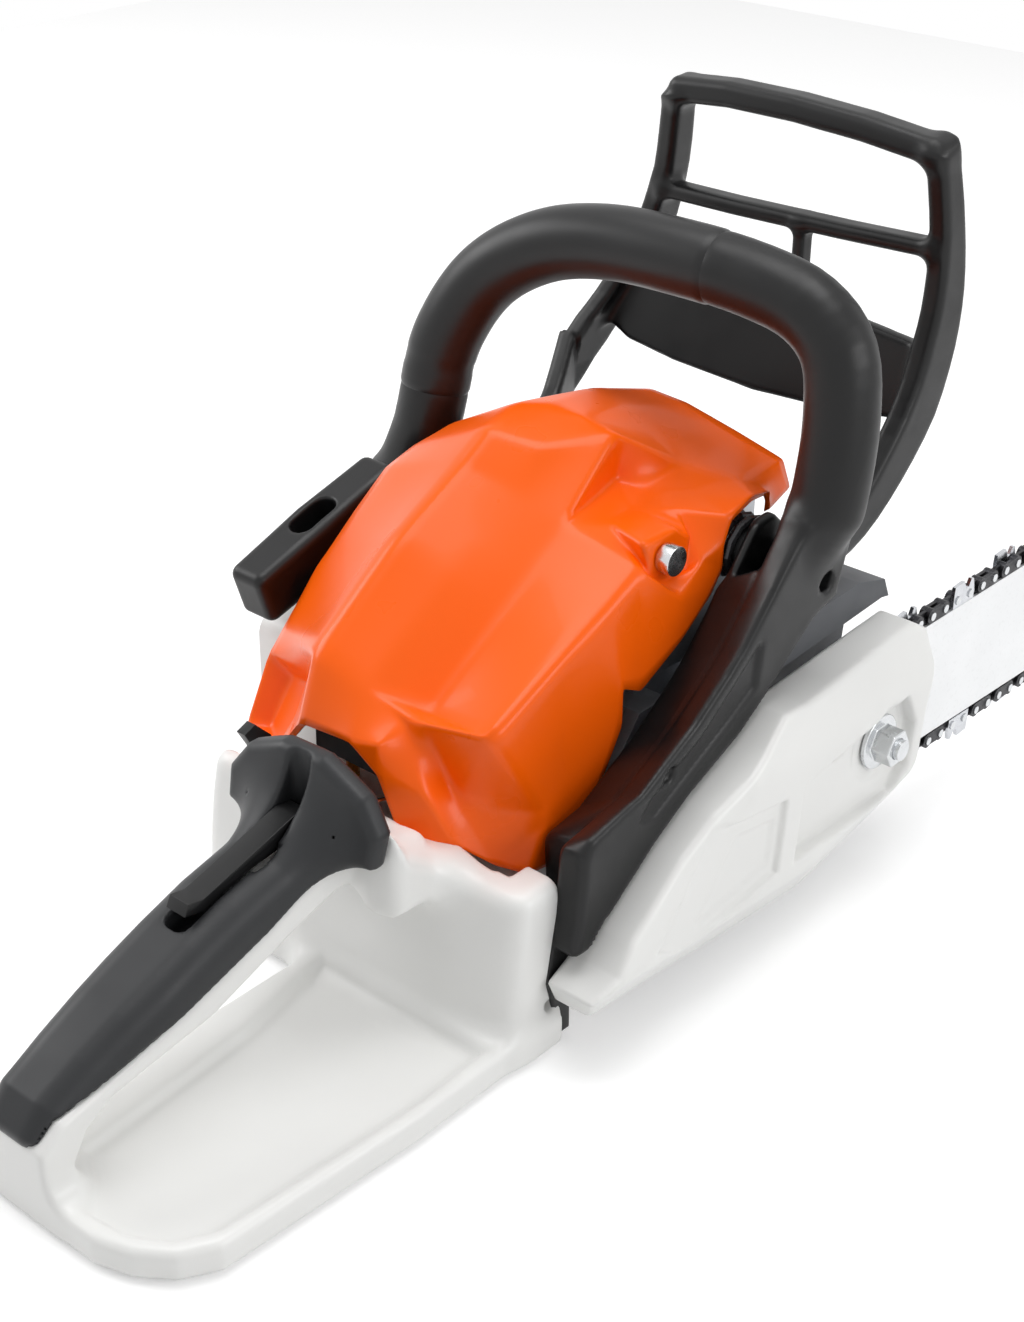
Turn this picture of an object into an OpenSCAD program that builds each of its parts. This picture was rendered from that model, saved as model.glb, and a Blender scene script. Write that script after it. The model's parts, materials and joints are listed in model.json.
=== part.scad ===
// Compact petrol chainsaw: powerhead, handles, guide bar and saw chain.
// Frame: +X towards the bar nose, +Y towards the starter, +Z up.
// The origin is on the ground under the crankshaft.

/* [Overall] */
// Reach of the rear handle behind the crankshaft
rear_reach = 275; // [235:1:335]
// Height of the top edge of the hand guard
guard_top_z = 275; // [262:1:330]
// Height of the crankshaft above the ground
axis_z = 60; // [56:1:64]
// Outer face of the starter housing from the engine centre plane
starter_face = 100; // [98:1:112]

/* [Handles] */
// Diameter of the front handle tube
tube_d = 27; // [22:0.5:32]
// Thickness of the soft sleeve on the front handle
sleeve_t = 2; // [1.5:0.1:2.6]
// Width of the rear handle beam
beam_w = 33; // [28:1:40]
// Thickness of the rear foot plate
foot_t = 13; // [10:0.5:16]

/* [Engine] */
// Cylinder bore
bore = 37; // [31:0.5:44]
// Piston stroke
stroke = 28; // [24:0.5:31]
// Connecting rod length between its eyes
rod_length = 50; // [48:0.5:53]
// Crankshaft journal diameter
shaft_d = 12; // [10:0.5:14.5]
// Outer diameter of the main bearings
bearing_od = 32; // [28:0.5:34]
// Width of the main bearings
bearing_w = 10; // [8:0.5:11]
// Outer diameter of the flywheel
flywheel_d = 84; // [70:1:88]

/* [Bar and chain] */
// Distance between neighbouring chain rivets
rivet_pitch = 9.32; // [8.3:0.01:9.6]
// Number of drive links in the chain loop
drive_links = 50; // [44:1:60]
// Teeth of the drive sprocket
drive_teeth = 6; // [6:1:7]
// Teeth of the nose sprocket
nose_teeth = 9; // [9:1:10]
// Height of the guide bar at its middle
bar_height = 56; // [46:0.5:60]
// Thickness of the guide bar
bar_t = 4; // [3.4:0.1:4.6]
// Thickness of a drive link, which runs in the bar groove
gauge = 1.3; // [1.1:0.1:1.5]
// Thickness of a tie strap or cutter plate
strap_t = 1.5; // [1.2:0.1:1.7]
// Diameter of a rivet where it goes through the links
rivet_d = 3.4; // [2.9:0.1:4.1]
// Diameter of the bar stud
stud_d = 8; // [6.5:0.5:9.5]
// Tilt of the bar below the level
bar_tilt = 1.5; // [0:0.5:2]

/* [Clutch and starter] */
// Outer diameter of the clutch drum
drum_d = 60; // [54:1:62]
// Radius of the rope groove in the rope rotor
groove_r = 20; // [18:0.5:23]
// Starter rope diameter
rope_d = 3.5; // [3:0.1:4]

/* [Fits] */
// Running clearance of a shaft in its hole, on the radius
run_fit = 0.05; // [0.03:0.01:0.09]
// Gap between pieces that pass each other
air_gap = 0.5; // [0.4:0.1:0.9]
// Gap of a seated piece from its seat
seat_gap = 0.2; // [0.1:0.05:0.3]
// Wall thickness of the plastic covers
wall = 2.6; // [2.2:0.1:3.2]

/* [Hidden] */
$fn = 48;
bar_y = -86;
handle_y = -8;
cap_r = 16.5;
crank_r = stroke / 2;
chamber_half = 16;
case_right = -56;
case_left = 46;
case_top = 92;
pin_z = axis_z + crank_r + rod_length;
crown_z = pin_z + 13;
head_z = crown_z + 2;
leg_out = -89;
leg_in = -60;
arm_out = -76;
arm_in = -67;
pivot = [32, 132];
pivot_d = 8;
seal_end = chamber_half + bearing_w + 5;
intake_z = axis_z + 43;
starter_tilt = 18;
starter_y = starter_face - 12;
rope_y = starter_y - 0.5;
// The rope leaves the groove as a tangent; the grip sits on that line.
rope_off = groove_r + rope_d / 2 + seat_gap;
rope_foot = [-rope_off * cos(starter_tilt), 0, -rope_off * sin(starter_tilt)];
grip_rise = 67;
rope_below = 38;
fuel_cap = [-92, 72, 30];
lever_pivot = [-131, 84];
lever_y = 26;
oil_cap = [58, case_left, 27];
hub_r = 11;
drive_r = drive_teeth * rivet_pitch * 2 / (2 * PI);
nose_r = nose_teeth * rivet_pitch * 2 / (2 * PI);
rail_drop = 3.5;
bow = bar_height / 2 + rail_drop;
stud_x = 60;
nut_face = -99;
cover_out = -105;

// ---------- shared geometry ----------

function unit(v) = v / norm(v);

// A closed solid through rings of points, each ring with the same count.
module loft(rings) {
    n = len(rings[0]);
    m = len(rings);
    sides = [for (i = [0:m - 2], j = [0:n - 1])
        each [[i * n + j, (i + 1) * n + j, (i + 1) * n + (j + 1) % n],
              [i * n + j, (i + 1) * n + (j + 1) % n, i * n + (j + 1) % n]]];
    first = [for (j = [1:n - 2]) [0, j, j + 1]];
    last = [for (j = [1:n - 2]) [(m - 1) * n, (m - 1) * n + j + 1, (m - 1) * n + j]];
    polyhedron(points = [for (r = rings) each r], faces = concat(sides, first, last), convexity = 6);
}

// Catmull-Rom point between the second and third of four points.
function spline4(a, b, c, d, t) =
    0.5 * (2 * b + (c - a) * t + (2 * a - 5 * b + 4 * c - d) * t * t
    + (3 * b - a - 3 * c + d) * t * t * t);

// Smooth path through the points p, with n steps in each span.
function smooth(p, n) = concat([for (i = [0:len(p) - 2], k = [0:n - 1])
    spline4(p[max(i - 1, 0)], p[i], p[i + 1], p[min(i + 2, len(p) - 1)], k / n)], [p[len(p) - 1]]);

function tangent(p, i) = unit(p[min(i + 1, len(p) - 1)] - p[max(i - 1, 0)]);

// Round rings of radius r (a number or a list) about the path p; up is a direction
// that the path never follows.
function tube_rings(p, r, n, up) = [for (i = [0:len(p) - 1])
    let (t = tangent(p, i), a = unit(cross(up, t)), b = cross(t, a), q = is_list(r) ? r[i] : r)
    [for (j = [0:n - 1]) p[i] + q * (cos(360 * j / n) * a + sin(360 * j / n) * b)]];

module tube(p, r, n = 12, up = [1, 0, 0]) loft(tube_rings(p, r, n, up));

// A cylinder along Y from y0 to y1 at [x, z].
module rod_y(at, y0, y1, d, fn = 48)
    translate([at[0], y1, at[1]]) rotate([90, 0, 0]) cylinder(d = d, h = y1 - y0, $fn = fn);

// A side outline (points are [x, z]) extruded from y0 to y1.
module side_plate(y0, y1, outline = undef)
    translate([0, y1, 0]) rotate([90, 0, 0]) linear_extrude(y1 - y0)
        if (is_undef(outline)) children(); else polygon(outline);

// An outline with round corners of radius r.
module soft(r) offset(r, $fn = 24) offset(delta = -r) children();

// A block given by its two corners.
module block(lo, hi) translate(lo) cube(hi - lo);

// ---------- chain path, in the bar's own plane: x forward, z up ----------

// Circles that the upper half of the loop rolls over: [x, z, radius].
function path_circles(nose_x) = [[0, 0, drive_r], [105, bow - 1.9 - 100, 100],
    [240, bow - 300, 300], [nose_x, 0, nose_r]];

// Angle of the shared outward normal of two circles.
function shared_normal(a, b) = let (v = [b[0] - a[0], b[1] - a[1]])
    atan2(v[1], v[0]) + acos((a[2] - b[2]) / norm(v));

function polar(c, angle) = [c[0] + c[2] * cos(angle), c[1] + c[2] * sin(angle)];

// Pieces of the upper half, from the back of the drive sprocket to the nose:
// an arc is [0, circle, start angle, end angle], a line is [1, from, to].
function half_path(nose_x) = let (c = path_circles(nose_x),
    n = [180, for (i = [0:2]) shared_normal(c[i], c[i + 1]), 0])
    [for (i = [0:3]) each (i < 3 ? [[0, c[i], n[i], n[i + 1]],
        [1, polar(c[i], n[i + 1]), polar(c[i + 1], n[i + 1])]] : [[0, c[3], n[3], 0]])];

function piece_length(p) = p[0] == 0 ? p[1][2] * (p[2] - p[3]) * PI / 180 : norm(p[2] - p[1]);
function sum(v, i = 0) = i < len(v) ? v[i] + sum(v, i + 1) : 0;
function half_length(nose_x) = sum([for (p = half_path(nose_x)) piece_length(p)]);

// Nose position at which the loop is as long as the chain, by repeated correction.
function fit_nose(x, n = 6) = n == 0 ? x
    : fit_nose(x + drive_links * rivet_pitch - half_length(x), n - 1);
nose_x = fit_nose(395);
upper = half_path(nose_x);
loop_length = 2 * half_length(nose_x);

// Point and heading at the distance s along the upper half.
function on_piece(p, s) = p[0] == 0
    ? let (a = p[2] - s / p[1][2] * 180 / PI) [polar(p[1], a), a - 90]
    : let (v = unit(p[2] - p[1])) [p[1] + s * v, atan2(v[1], v[0])];
function along(s, i = 0) = let (l = piece_length(upper[i]))
    (s <= l || i == len(upper) - 1) ? on_piece(upper[i], s) : along(s - l, i + 1);

// The whole loop: the lower half mirrors the upper one.
function on_loop(s) = let (w = s - loop_length * floor(s / loop_length))
    w <= loop_length / 2 ? along(w)
    : let (q = along(loop_length - w)) [[q[0][0], -q[0][1]], 180 - q[1]];
rivets = [for (k = [0:2 * drive_links - 1]) on_loop(k * loop_length / (2 * drive_links))];

// Places its children in the bar's plane, with the bar's tilt.
module bar_frame() translate([0, bar_y, axis_z]) rotate([90, 0, 0]) rotate([0, 0, -bar_tilt])
    children();

// One link between the rivets k and k + 1, as a plate from z0 to z1.
module link(k, z0, z1) {
    a = rivets[k][0];
    b = rivets[(k + 1) % len(rivets)][0];
    v = b - a;
    translate([(a[0] + b[0]) / 2, (a[1] + b[1]) / 2, z0]) rotate([0, 0, atan2(v[1], v[0])])
        linear_extrude(z1 - z0) children();
}

module rivet_holes() for (s = [-1, 1])
    translate([s * rivet_pitch / 2, 0]) circle(d = rivet_d + 0.2, $fn = 16);

// Rounded plate of a tie strap, flat towards the bar.
module strap_shape() difference() {
    union() {
        for (s = [-1, 1]) translate([s * rivet_pitch / 2, 0]) circle(r = 3.1, $fn = 24);
        translate([-rivet_pitch / 2, -3.1]) square([rivet_pitch, 5.6]);
    }
    rivet_holes();
}

// Cutter plate: strap foot, depth gauge, gullet and tooth.
module cutter_shape() difference() {
    union() {
        for (s = [-1, 1]) translate([s * rivet_pitch / 2, 0]) circle(r = 3.1, $fn = 24);
        polygon([[-7.6, -3.1], [7.6, -3.1], [7.4, 2], [6.4, 6], [4.6, 6.4], [3, 3.4], [1, 3],
            [-0.6, 6.9], [-7.4, 6.4], [-7.8, 2]]);
    }
    rivet_holes();
}

// Drive link with its tang, which runs in the groove of the bar.
module drive_shape() difference() {
    union() {
        for (s = [-1, 1]) translate([s * rivet_pitch / 2, 0]) circle(r = 3.1, $fn = 24);
        polygon([[-4.6, 2.4], [4.6, 2.4], [6.4, -2.4], [2.6, -6.6], [0.6, -8.4], [-1.8, -7.6],
            [-6.4, -2.4]]);
    }
    rivet_holes();
}

// ---------- rear housing and handles ----------

// Underside of the handle beam, as [x, z].
beam_low = [[13 - rear_reach, foot_t - 1], [12 - rear_reach, 26], [22 - rear_reach, 34], [-229, 39],
    [-204, 43], [-167, 57], [-146, 64], [-130, 62]];
// Line where the soft grip meets the housing, as [x, z].
split = [[1 - rear_reach, 30], [9 - rear_reach, 38], [-216, 51], [-180, 63], [-148, 77]];

module rear_housing() color("whitesmoke") difference() {
    union() {
        // foot plate with its wide hand protection
        linear_extrude(foot_t) soft(12)
            polygon([[-98, -79], [26 - rear_reach, -79], [-rear_reach, -62], [-rear_reach, 6],
                [10 - rear_reach, 14], [-140, 11], [-98, 30]]);
        // handle beam and rear post
        side_plate(handle_y - beam_w / 2, handle_y + beam_w / 2,
            concat([[-rear_reach, 4]], [[-rear_reach, 26]], split, [[-120, 77], [-120, 50]],
                [for (i = [len(beam_low) - 1:-1:0]) beam_low[i]], [[14 - rear_reach, 4]]));
        // fuel tank body with its sloping rear wall
        hull() {
            linear_extrude(1) polygon([[-99, -79], [-130, -79], [-136, -60], [-136, 66], [-124, 72],
                [-70, 72], [-70, -55], [-99, -55]]);
            translate([0, 0, 55]) linear_extrude(12) polygon([[-99, -78], [-116, -78],
                [-120, -60], [-120, 60], [-112, 70], [-70, 70], [-70, -55], [-99, -55]]);
        }
        // saddle under the grip flange, and the pivot of the control lever
        block([-139, handle_y - 29, 60], [-122, handle_y + 31, 78]);
        block([-136, handle_y + 28, 60], [-126, lever_y - seat_gap, 89]);
        rod_y(lever_pivot, lever_y - 2, lever_y + 6, 5);
    }
    // room for the skirt of the top cover, then the fuel space, open at the filler
    block([-110, -64, 54], [-60, 62, 90]);
    block([-115, -58, 62], [-60, 62, 90]);
    block([-114, 55, 47], [-60, 90, 90]);
    block([-112, -48, 6], [-76, 64, 43]);
    translate([-84, 34, 40]) cylinder(d = 5.4, h = 20);
    rod_y([fuel_cap[0], fuel_cap[2]], fuel_cap[1] - 20, fuel_cap[1] + 10, 24);
    // trigger slot and its pin hole
    block([-176, handle_y - 7, 40], [-128, handle_y + 7, 90]);
    rod_y([-142, 68], handle_y - beam_w, handle_y + beam_w, 4 + 2 * run_fit);
    // seat for the foot of the front handle
    side_plate(leg_out - 1, leg_in + seat_gap) offset(delta = seat_gap) polygon(leg_outline);
}

// Section of the grip cover above the split line: [across, up].
grip_section = [[-18, 0], [-18, 7], [-14, 13], [-6, 16], [6, 16], [14, 13], [18, 7], [18, 0]];

function grip_ring(at, k, lean) = [for (q = grip_section)
    [at[0] - lean * q[1] * k, handle_y - q[0] * beam_w / 33, at[1] + q[1] * k]];

module rear_grip() color("#333333") difference() {
    union() {
        loft([grip_ring(split[0] + [0, seat_gap], 0.45, -0.1),
            grip_ring(split[1] + [0, seat_gap], 0.8, 0.2), grip_ring(split[2] + [0, seat_gap], 1, 0.4),
            grip_ring(split[3] + [0, seat_gap], 1, 0.4), grip_ring(split[4] + [0, seat_gap], 1.3, 0)]);
        // flange in front of the hand
        side = [[-34, 79], [-36, 92], [-27, 104], [-8, 111], [10, 110], [26, 103], [34, 92],
            [34, 79]];
        translate([-150, handle_y, 0]) rotate([90, 0, 90]) linear_extrude(9) polygon(side);
    }
    // interlock slot and pin hole, and the way through to the trigger
    block([-206, handle_y - 5, 66], [-146, handle_y + 5, 112]);
    block([-176, handle_y - 7, 50], [-150, handle_y + 7, 84]);
    rod_y([-152, 87], handle_y - 20, handle_y + 20, 3 + 2 * run_fit);
}

// Centre line of the front handle tube.
leg_y = starter_face + tube_d / 2 + 1.5;
tube_points = [[12, leg_y, 12], [12, leg_y, 50], [13, leg_y, 92], [14, leg_y - 6, 112],
    [15, 98, 127], [18, 92.5, 143], [20, 91, 153], [26, 88, 180],
    [34, 75, 205], [40, 52, 221], [44, 24, 228], [46, -11, 229], [48, -40, 227], [48.5, -62, 222],
    [46.5, -77, 210], [42, -84, 188], [36, -86, 166], [33, -86, 156], [30, -83, 146]];
tube_path = smooth(tube_points, 3);
sleeve_from = 19;
sleeve_to = 33;
core_r = tube_d / 2 - sleeve_t;

function tube_radius(i) = let (n = len(tube_path) - 1)
    (i >= sleeve_from && i <= sleeve_to) ? core_r
    : i > n - 6 ? tube_d / 2 - (i - n + 6) * (tube_d / 2 - 6) / 6 : tube_d / 2;

leg_outline = [[18, 158], [48, 160], [46, 140], [41, 123], [31, 120], [26, 118], [7, 104],
    [-1, 98], [-15, 89], [-43, 77], [-60, 67], [-86, 48], [-94, 34], [-93, 3], [-99, 3], [-106, 28],
    [-101, 55], [-99, 80], [-95, 85], [-68, 93], [-41, 106], [-24, 118], [-12, 129], [0, 141]];
leg_rear = [[8, 149], [8, 105], [-1, 98], [-15, 89], [-43, 77], [-60, 67], [-86, 48], [-88, 74],
    [-68, 93], [-41, 106], [-24, 118], [-12, 129], [0, 141]];

module handle_frame() color("#1a1a1a") difference() {
    union() {
        tube(tube_path, [for (i = [0:len(tube_path) - 1]) tube_radius(i)], 16);
        side_plate(leg_out, arm_out - air_gap, leg_outline);
        side_plate(arm_out - air_gap, leg_in, leg_rear);
        // inner cheek that holds the pivot pin and the spring plug
        side_plate(arm_in + air_gap, leg_in - 2, [[4, 149], [30, 152], [43, 140], [43, 122],
            [28, 118], [4, 105]]);
        // left foot under the starter housing, and the lug of the guard
        block([-2, case_left + 5, 1.5], [26, leg_y + 4, 10]);
        block([-2, case_left + 5, 1.5], [26, case_left + 9, 11.5]);
        side_plate(76, 80, [[14, 122], [36, 122], [42, 132], [38, 141], [14, 146]]);
        block([14, 78, 128], [30, 90, 144]);
    }
    rod_y(pivot, leg_out + 6, leg_in, pivot_d + 2 * run_fit);
    rod_y(pivot, leg_out - 1, leg_out + 2, 7);
    rod_y(pivot, 70, 90, pivot_d + 2 * run_fit);
    rod_y([-54, 90.6], leg_out - 1, leg_out + 3, 7);
    rod_y([12, 6], case_left, case_left + 20, 5.4);
    // room for the rear corner of the sprocket cover
    side_plate(leg_out - 1, bar_y + 6 + air_gap, [[-120, -1], [-120, 42], [-95, 42], [-86, 50], [-78, 44],
        [-78, -1]]);
    // channel behind the outer face
    side_plate(leg_out + 4, leg_in + 1, [[-2, 128], [-2, 108], [-16, 98], [-44, 84], [-62, 74],
        [-72, 78], [-66, 84], [-38, 98], [-20, 111]]);
}

module handle_sleeve() color("#202020") difference() {
    part = [for (i = [sleeve_from:sleeve_to]) tube_path[i]];
    longer = concat([part[0] - 2 * tangent(part, 0)], part,
        [part[len(part) - 1] + 2 * tangent(part, len(part) - 1)]);
    tube(part, tube_d / 2, 16);
    tube(longer, core_r + seat_gap, 16);
}

// ---------- covers ----------

// Outer sections of the top cover from back to front, each [x, left foot, left side,
// left shoulder, crest left, crest right, right shoulder, right foot], as [y, z] pairs.
cover_sections = [
    [-125, [38, 62], [40, 82], [32, 96], [18, 106], [-12, 104], [-36, 96], [-42, 74]],
    [-104, [68, 48], [70, 72], [58, 94], [24, 120], [-15, 114], [-50, 112], [-58, 62]],
    [-90, [74, 48], [75, 90], [62, 108], [25, 131], [-16, 123], [-51, 117], [-60, 57]],
    [-68, [75, 112], [76, 116], [62, 130], [25, 147], [-16, 138], [-51, 126], [-60, 60]],
    [-40, [75, 112], [76, 132], [62, 146], [25, 162], [-16, 152], [-51, 139], [-60, 97]],
    [-14, [74, 112], [75, 146], [60, 158], [24, 185], [-18, 170], [-51, 158], [-58, 115]],
    [8, [66, 112], [68, 150], [56, 162], [20, 181], [-18, 174], [-50, 161], [-55, 122]],
    [34, [54, 112], [55, 148], [48, 162], [18, 176], [-18, 173], [-50, 162], [-53, 146]],
    [62, [48, 112], [49, 140], [42, 156], [14, 168], [-18, 168], [-46, 160], [-50, 146]]];

function cover_ring(s, w, drop) = let (x = s[0])
    [for (i = [1:7]) let (q = s[i], e = (i == 1 || i == 7) ? -drop : w,
        side = i <= 3 ? -w : i >= 6 ? w : 0) [x, q[0] + side, q[1] - e]];

module top_cover() color("#ff6a14") difference() {
    n = len(cover_sections);
    loft([for (s = cover_sections) cover_ring(s, 0, 0)]);
    loft(concat([for (i = [0:n - 1]) let (r = cover_ring(cover_sections[i], wall, -40))
        [for (q = r) q + [i == 0 ? -4 : i == n - 1 ? 4 : 0, 0, 0]]]));
    rod_y(spring_at, -80, -40, 31);
    // seat of the cover screw
    rod_y([-14, 146], -80, -30, 6.4);
    rod_y([-14, 146], -80, -51.4, 16);
}

module cover_screw() color("silver") {
    rod_y([-14, 146], -57.2, -51.4 - seat_gap, 11);
    rod_y([-14, 146], -51.8, -42, 5.8);
}

module starter_housing() color("whitesmoke") {
    face = [[-68, 20], [-58, 12], [28, 12], [40, 26], [58, 56], [56, 86], [44, 104], [-8, 106],
        [-40, 99], [-68, 88]];
    difference() {
        union() {
            difference() {
                side_plate(case_left + seat_gap, starter_face) soft(8) polygon(face);
                side_plate(case_left - 1, starter_y) soft(6) offset(delta = -wall) polygon(face);
                // outer layer of the space, below the bevel
                side_plate(starter_y - 1, starter_face - wall) soft(6) offset(delta = -wall)
                    intersection() {
                        polygon(face);
                        translate([-100, 0]) square([200, 95]);
                    }
            }
            for (q = starter_screws) rod_y(q, case_left + seat_gap, starter_face - 1, 9);
        }
        for (q = starter_screws) rod_y(q, 0, 120, 5.2);
        // bevel along the top edge, where the handle tube passes
        translate([-80, 0, 0]) rotate([90, 0, 90]) linear_extrude(160)
            polygon([[starter_face + 1, 95], [starter_face - 6, 108], [starter_face + 1, 108]]);
        // way in for the ignition lead
        block([30, 40, 84], [56, 60, 120]);
        // cooling slots
        for (a = [20:20:340]) translate([0, 0, axis_z]) rotate([0, a, 0])
            block([26, starter_face - 5, -2], [40, starter_face + 5, 2]);
        // rope exit
        translate([rope_foot[0], rope_y, axis_z + rope_foot[2]]) rotate([0, -starter_tilt, 0])
            cylinder(d = 9 + 2 * run_fit, h = 90);
    }
    // spring case and rotor post
    difference() {
        rod_y([0, axis_z], starter_face - 9, starter_face - wall, 50);
        rod_y([0, axis_z], starter_face - 10, starter_face - wall, 46);
    }
    rod_y([0, axis_z], starter_y - 8, starter_face - wall, 10);
}

cover_outline = [[-108, 31], [-96, 37], [-88, 46], [-61, 65], [-44, 75], [-16, 87], [-1, 96],
    [12, 93], [86, 98], [93, 92], [92, 80], [87, 66], [84, 44], [80, 28], [72, 20], [45, 14],
    [17, 12], [-30, 15], [-69, 21], [-104, 22]];

module sprocket_cover() color("whitesmoke") difference() {
    side_plate(cover_out, bar_y + 6) soft(2) polygon(cover_outline);
    // chain space, open to the front and towards the engine
    side_plate(cover_out + wall, bar_y + 20) polygon([[-92, 33], [-60, 60], [-43, 70], [-15, 82],
        [0, 90], [86, 93.5], [120, 94], [120, 22], [82, 22], [72, 23], [45, 17], [17, 15], [-30, 18],
        [-69, 24], [-90, 25]]);
    // nut recess
    rod_y([stud_x, nut_z], cover_out - 1, nut_face, 32);
    rod_y([stud_x, nut_z], cover_out - 1, bar_y, stud_d + 1);
    // tensioner hole
    rod_y([34, nut_z + 8], cover_out - 1, bar_y, 9);
}

nut_z = axis_z - stud_x * tan(bar_tilt);

module brake_housing() color("#4a4a4a") difference() {
    union() {
        side_plate(-62, case_right, [[-46, 62], [-20, 84], [4, 100], [20, 112], [70, 114], [88, 108],
            [92, 96], [84, 30], [60, 19], [-40, 20], [-60, 40]]);
        side_plate(-79.5, -58, [[14, 97], [22, 112], [70, 114], [88, 109], [92, 100.5], [87, 101.5],
            [14, 97]]);
    }
    rod_y([0, axis_z], -80, -50, drum_d + 8);
    rod_y([stud_x, nut_z], -80, -50, stud_d + 0.4);
    rod_y([34, nut_z + 8], -80, -50, 6);
}

module chain_catcher() color("gray") difference() {
    side_plate(bar_y + 6 + air_gap, -62 - seat_gap, [[56, 20], [78, 22], [76, 27], [60, 26]]);
    rod_y([68, 23.5], bar_y, -60, 3);
}

// ---------- engine ----------

starter_screws = [[-54, 24], [26, 18], [36, 94], [-46, 88]];

module crankcase() color("#5a5f63") difference() {
    union() {
        linear_extrude(54) soft(8) polygon([[-64, -52], [78, -52], [84, -30], [84, 30], [74, 44],
            [-64, 44]]);
        rod_y([0, axis_z], -34, 34, 2 * (case_top - axis_z));
        block([-30, -32, 50], [30, 32, case_top]);
        // side wall that carries the bar and the brake plate
        side_plate(case_right + seat_gap, -50, [[-56, 10], [80, 10], [84, 60], [60, 92], [-30, 92],
            [-56, 60]]);
        // left ring for the starter housing
        side_plate(40, case_left, [[-62, 14], [70, 14], [46, 60], [42, 100], [-48, 100], [-62, 84]]);
        // tower for the spring seat and the cover screw
        block([-21, -46, 88], [36, -42, 150]);
        block([-30, -50.5, 84], [36, -42, 92]);
    }
    rod_y([0, axis_z], -chamber_half, chamber_half, 60);
    rod_y([0, axis_z], -chamber_half - bearing_w, chamber_half + bearing_w, bearing_od);
    rod_y([0, axis_z], -seal_end, seal_end, 24);
    rod_y([0, axis_z], -80, 80, 22);
    rod_y([0, axis_z], -80, -34, 70);
    rod_y([0, axis_z], 34, 80, 88);
    translate([0, 0, axis_z]) cylinder(d = bore + 8.4, h = 60);
    // oil space, open at the filler
    block([34, -44, 5], [76, 38, 48]);
    rod_y([oil_cap[0], oil_cap[2]], 30, 60, 22);
    rod_y([stud_x, nut_z], -80, -40, stud_d + 2 * run_fit);
    rod_y([-14, 146], -50, -40, 6);
    for (q = starter_screws) rod_y(q, 30, 60, 5.2);
    rod_y([34, nut_z + 8], -80, -45, 6);
}

module cylinder_unit() {
    fin = 3;
    union() {
        translate([0, 0, case_top + seat_gap]) block([-29, -31, 0], [29, 31, 5]);
        translate([0, 0, case_top]) translate([0, 0, 1]) cylinder(d = bore + 8, h = head_z - case_top + 6);
        for (i = [0:6]) translate([-33, -39, case_top + 10 + i * 6.4]) linear_extrude(fin - 1)
            soft(8) square([66, 78]);
        // exhaust and intake ports
        translate([0, 0, axis_z + 48]) rotate([0, 90, 0]) cylinder(d = 22, h = 36);
        translate([0, 0, intake_z]) rotate([0, -90, 0]) cylinder(d = 20, h = 38);
        translate([0, 0, head_z]) rotate([0, -25, 0]) cylinder(d = 20, h = 13);
    }
}

module cylinder_part() color("#c9ccce") difference() {
    cylinder_unit();
    translate([0, 0, axis_z]) cylinder(d = bore + 2 * run_fit, h = head_z - axis_z);
    translate([0, 0, axis_z + 48]) rotate([0, 90, 0]) cylinder(d = 15, h = 60);
    translate([0, 0, intake_z]) rotate([0, -90, 0]) cylinder(d = 14, h = 60);
    translate([0, 0, head_z]) rotate([0, -25, 0]) translate([0, 0, -8]) cylinder(d = 10, h = 30);
}

module piston() color("#d8dadb") difference() {
    translate([0, 0, pin_z - 19]) cylinder(d = bore - 2 * run_fit, h = crown_z - pin_z + 19);
    translate([0, 0, pin_z - 20]) cylinder(d = bore - 7, h = 28.5);
    rod_y([0, pin_z], -bore, bore, 9 + 2 * run_fit);
    for (i = [0:1]) translate([0, 0, crown_z - 4 - 4 * i]) difference() {
        cylinder(d = bore + 4, h = 1.3);
        cylinder(d = bore - 4, h = 1.3);
    }
}

module piston_pin() color("silver") difference() {
    rod_y([0, pin_z], -bore / 2 + 2, bore / 2 - 2, 9);
    rod_y([0, pin_z], -bore, bore, 5);
}

crankpin = [0, axis_z + crank_r];

module connecting_rod() color("#9a9da0") difference() {
    union() {
        rod_y([0, pin_z], -4.5, 4.5, 15);
        rod_y(crankpin, -4.5, 4.5, 21);
        block([-4, -3, crankpin[1]], [4, 3, pin_z]);
    }
    rod_y([0, pin_z], -10, 10, 9 + 2 * run_fit);
    rod_y(crankpin, -10, 10, 12 + 2 * run_fit);
}

module crankshaft() color("#8d9194") {
    for (s = [-1, 1]) difference() {
        rod_y([0, axis_z], s > 0 ? 5 : -13, s > 0 ? 13 : -5, 54);
        block([-30, -20, axis_z + 12], [-12, 20, axis_z + 30]);
        block([12, -20, axis_z + 12], [30, 20, axis_z + 30]);
    }
    rod_y(crankpin, -6, 6, 12);
    rod_y([0, axis_z], -94, -6, shaft_d);
    rod_y([0, axis_z], 6, 74, shaft_d);
}

module ring_y(at, y0, y1, outer, inner) difference() {
    rod_y(at, y0, y1, outer);
    rod_y(at, y0 - 1, y1 + 1, inner);
}

module main_bearings() color("silver") for (s = [-1, 1]) {
    y0 = s > 0 ? chamber_half : -chamber_half - bearing_w;
    middle = (shaft_d + bearing_od) / 4;
    ring_y([0, axis_z], y0 + seat_gap, y0 + bearing_w - seat_gap, bearing_od - 2 * run_fit, middle * 2 + 5);
    ring_y([0, axis_z], y0 + seat_gap, y0 + bearing_w - seat_gap, middle * 2 - 5, shaft_d + 2 * run_fit);
    for (a = [0:45:315]) translate([middle * sin(a), y0 + bearing_w / 2, axis_z + middle * cos(a)])
        sphere(d = 4.8, $fn = 24);
}

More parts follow.
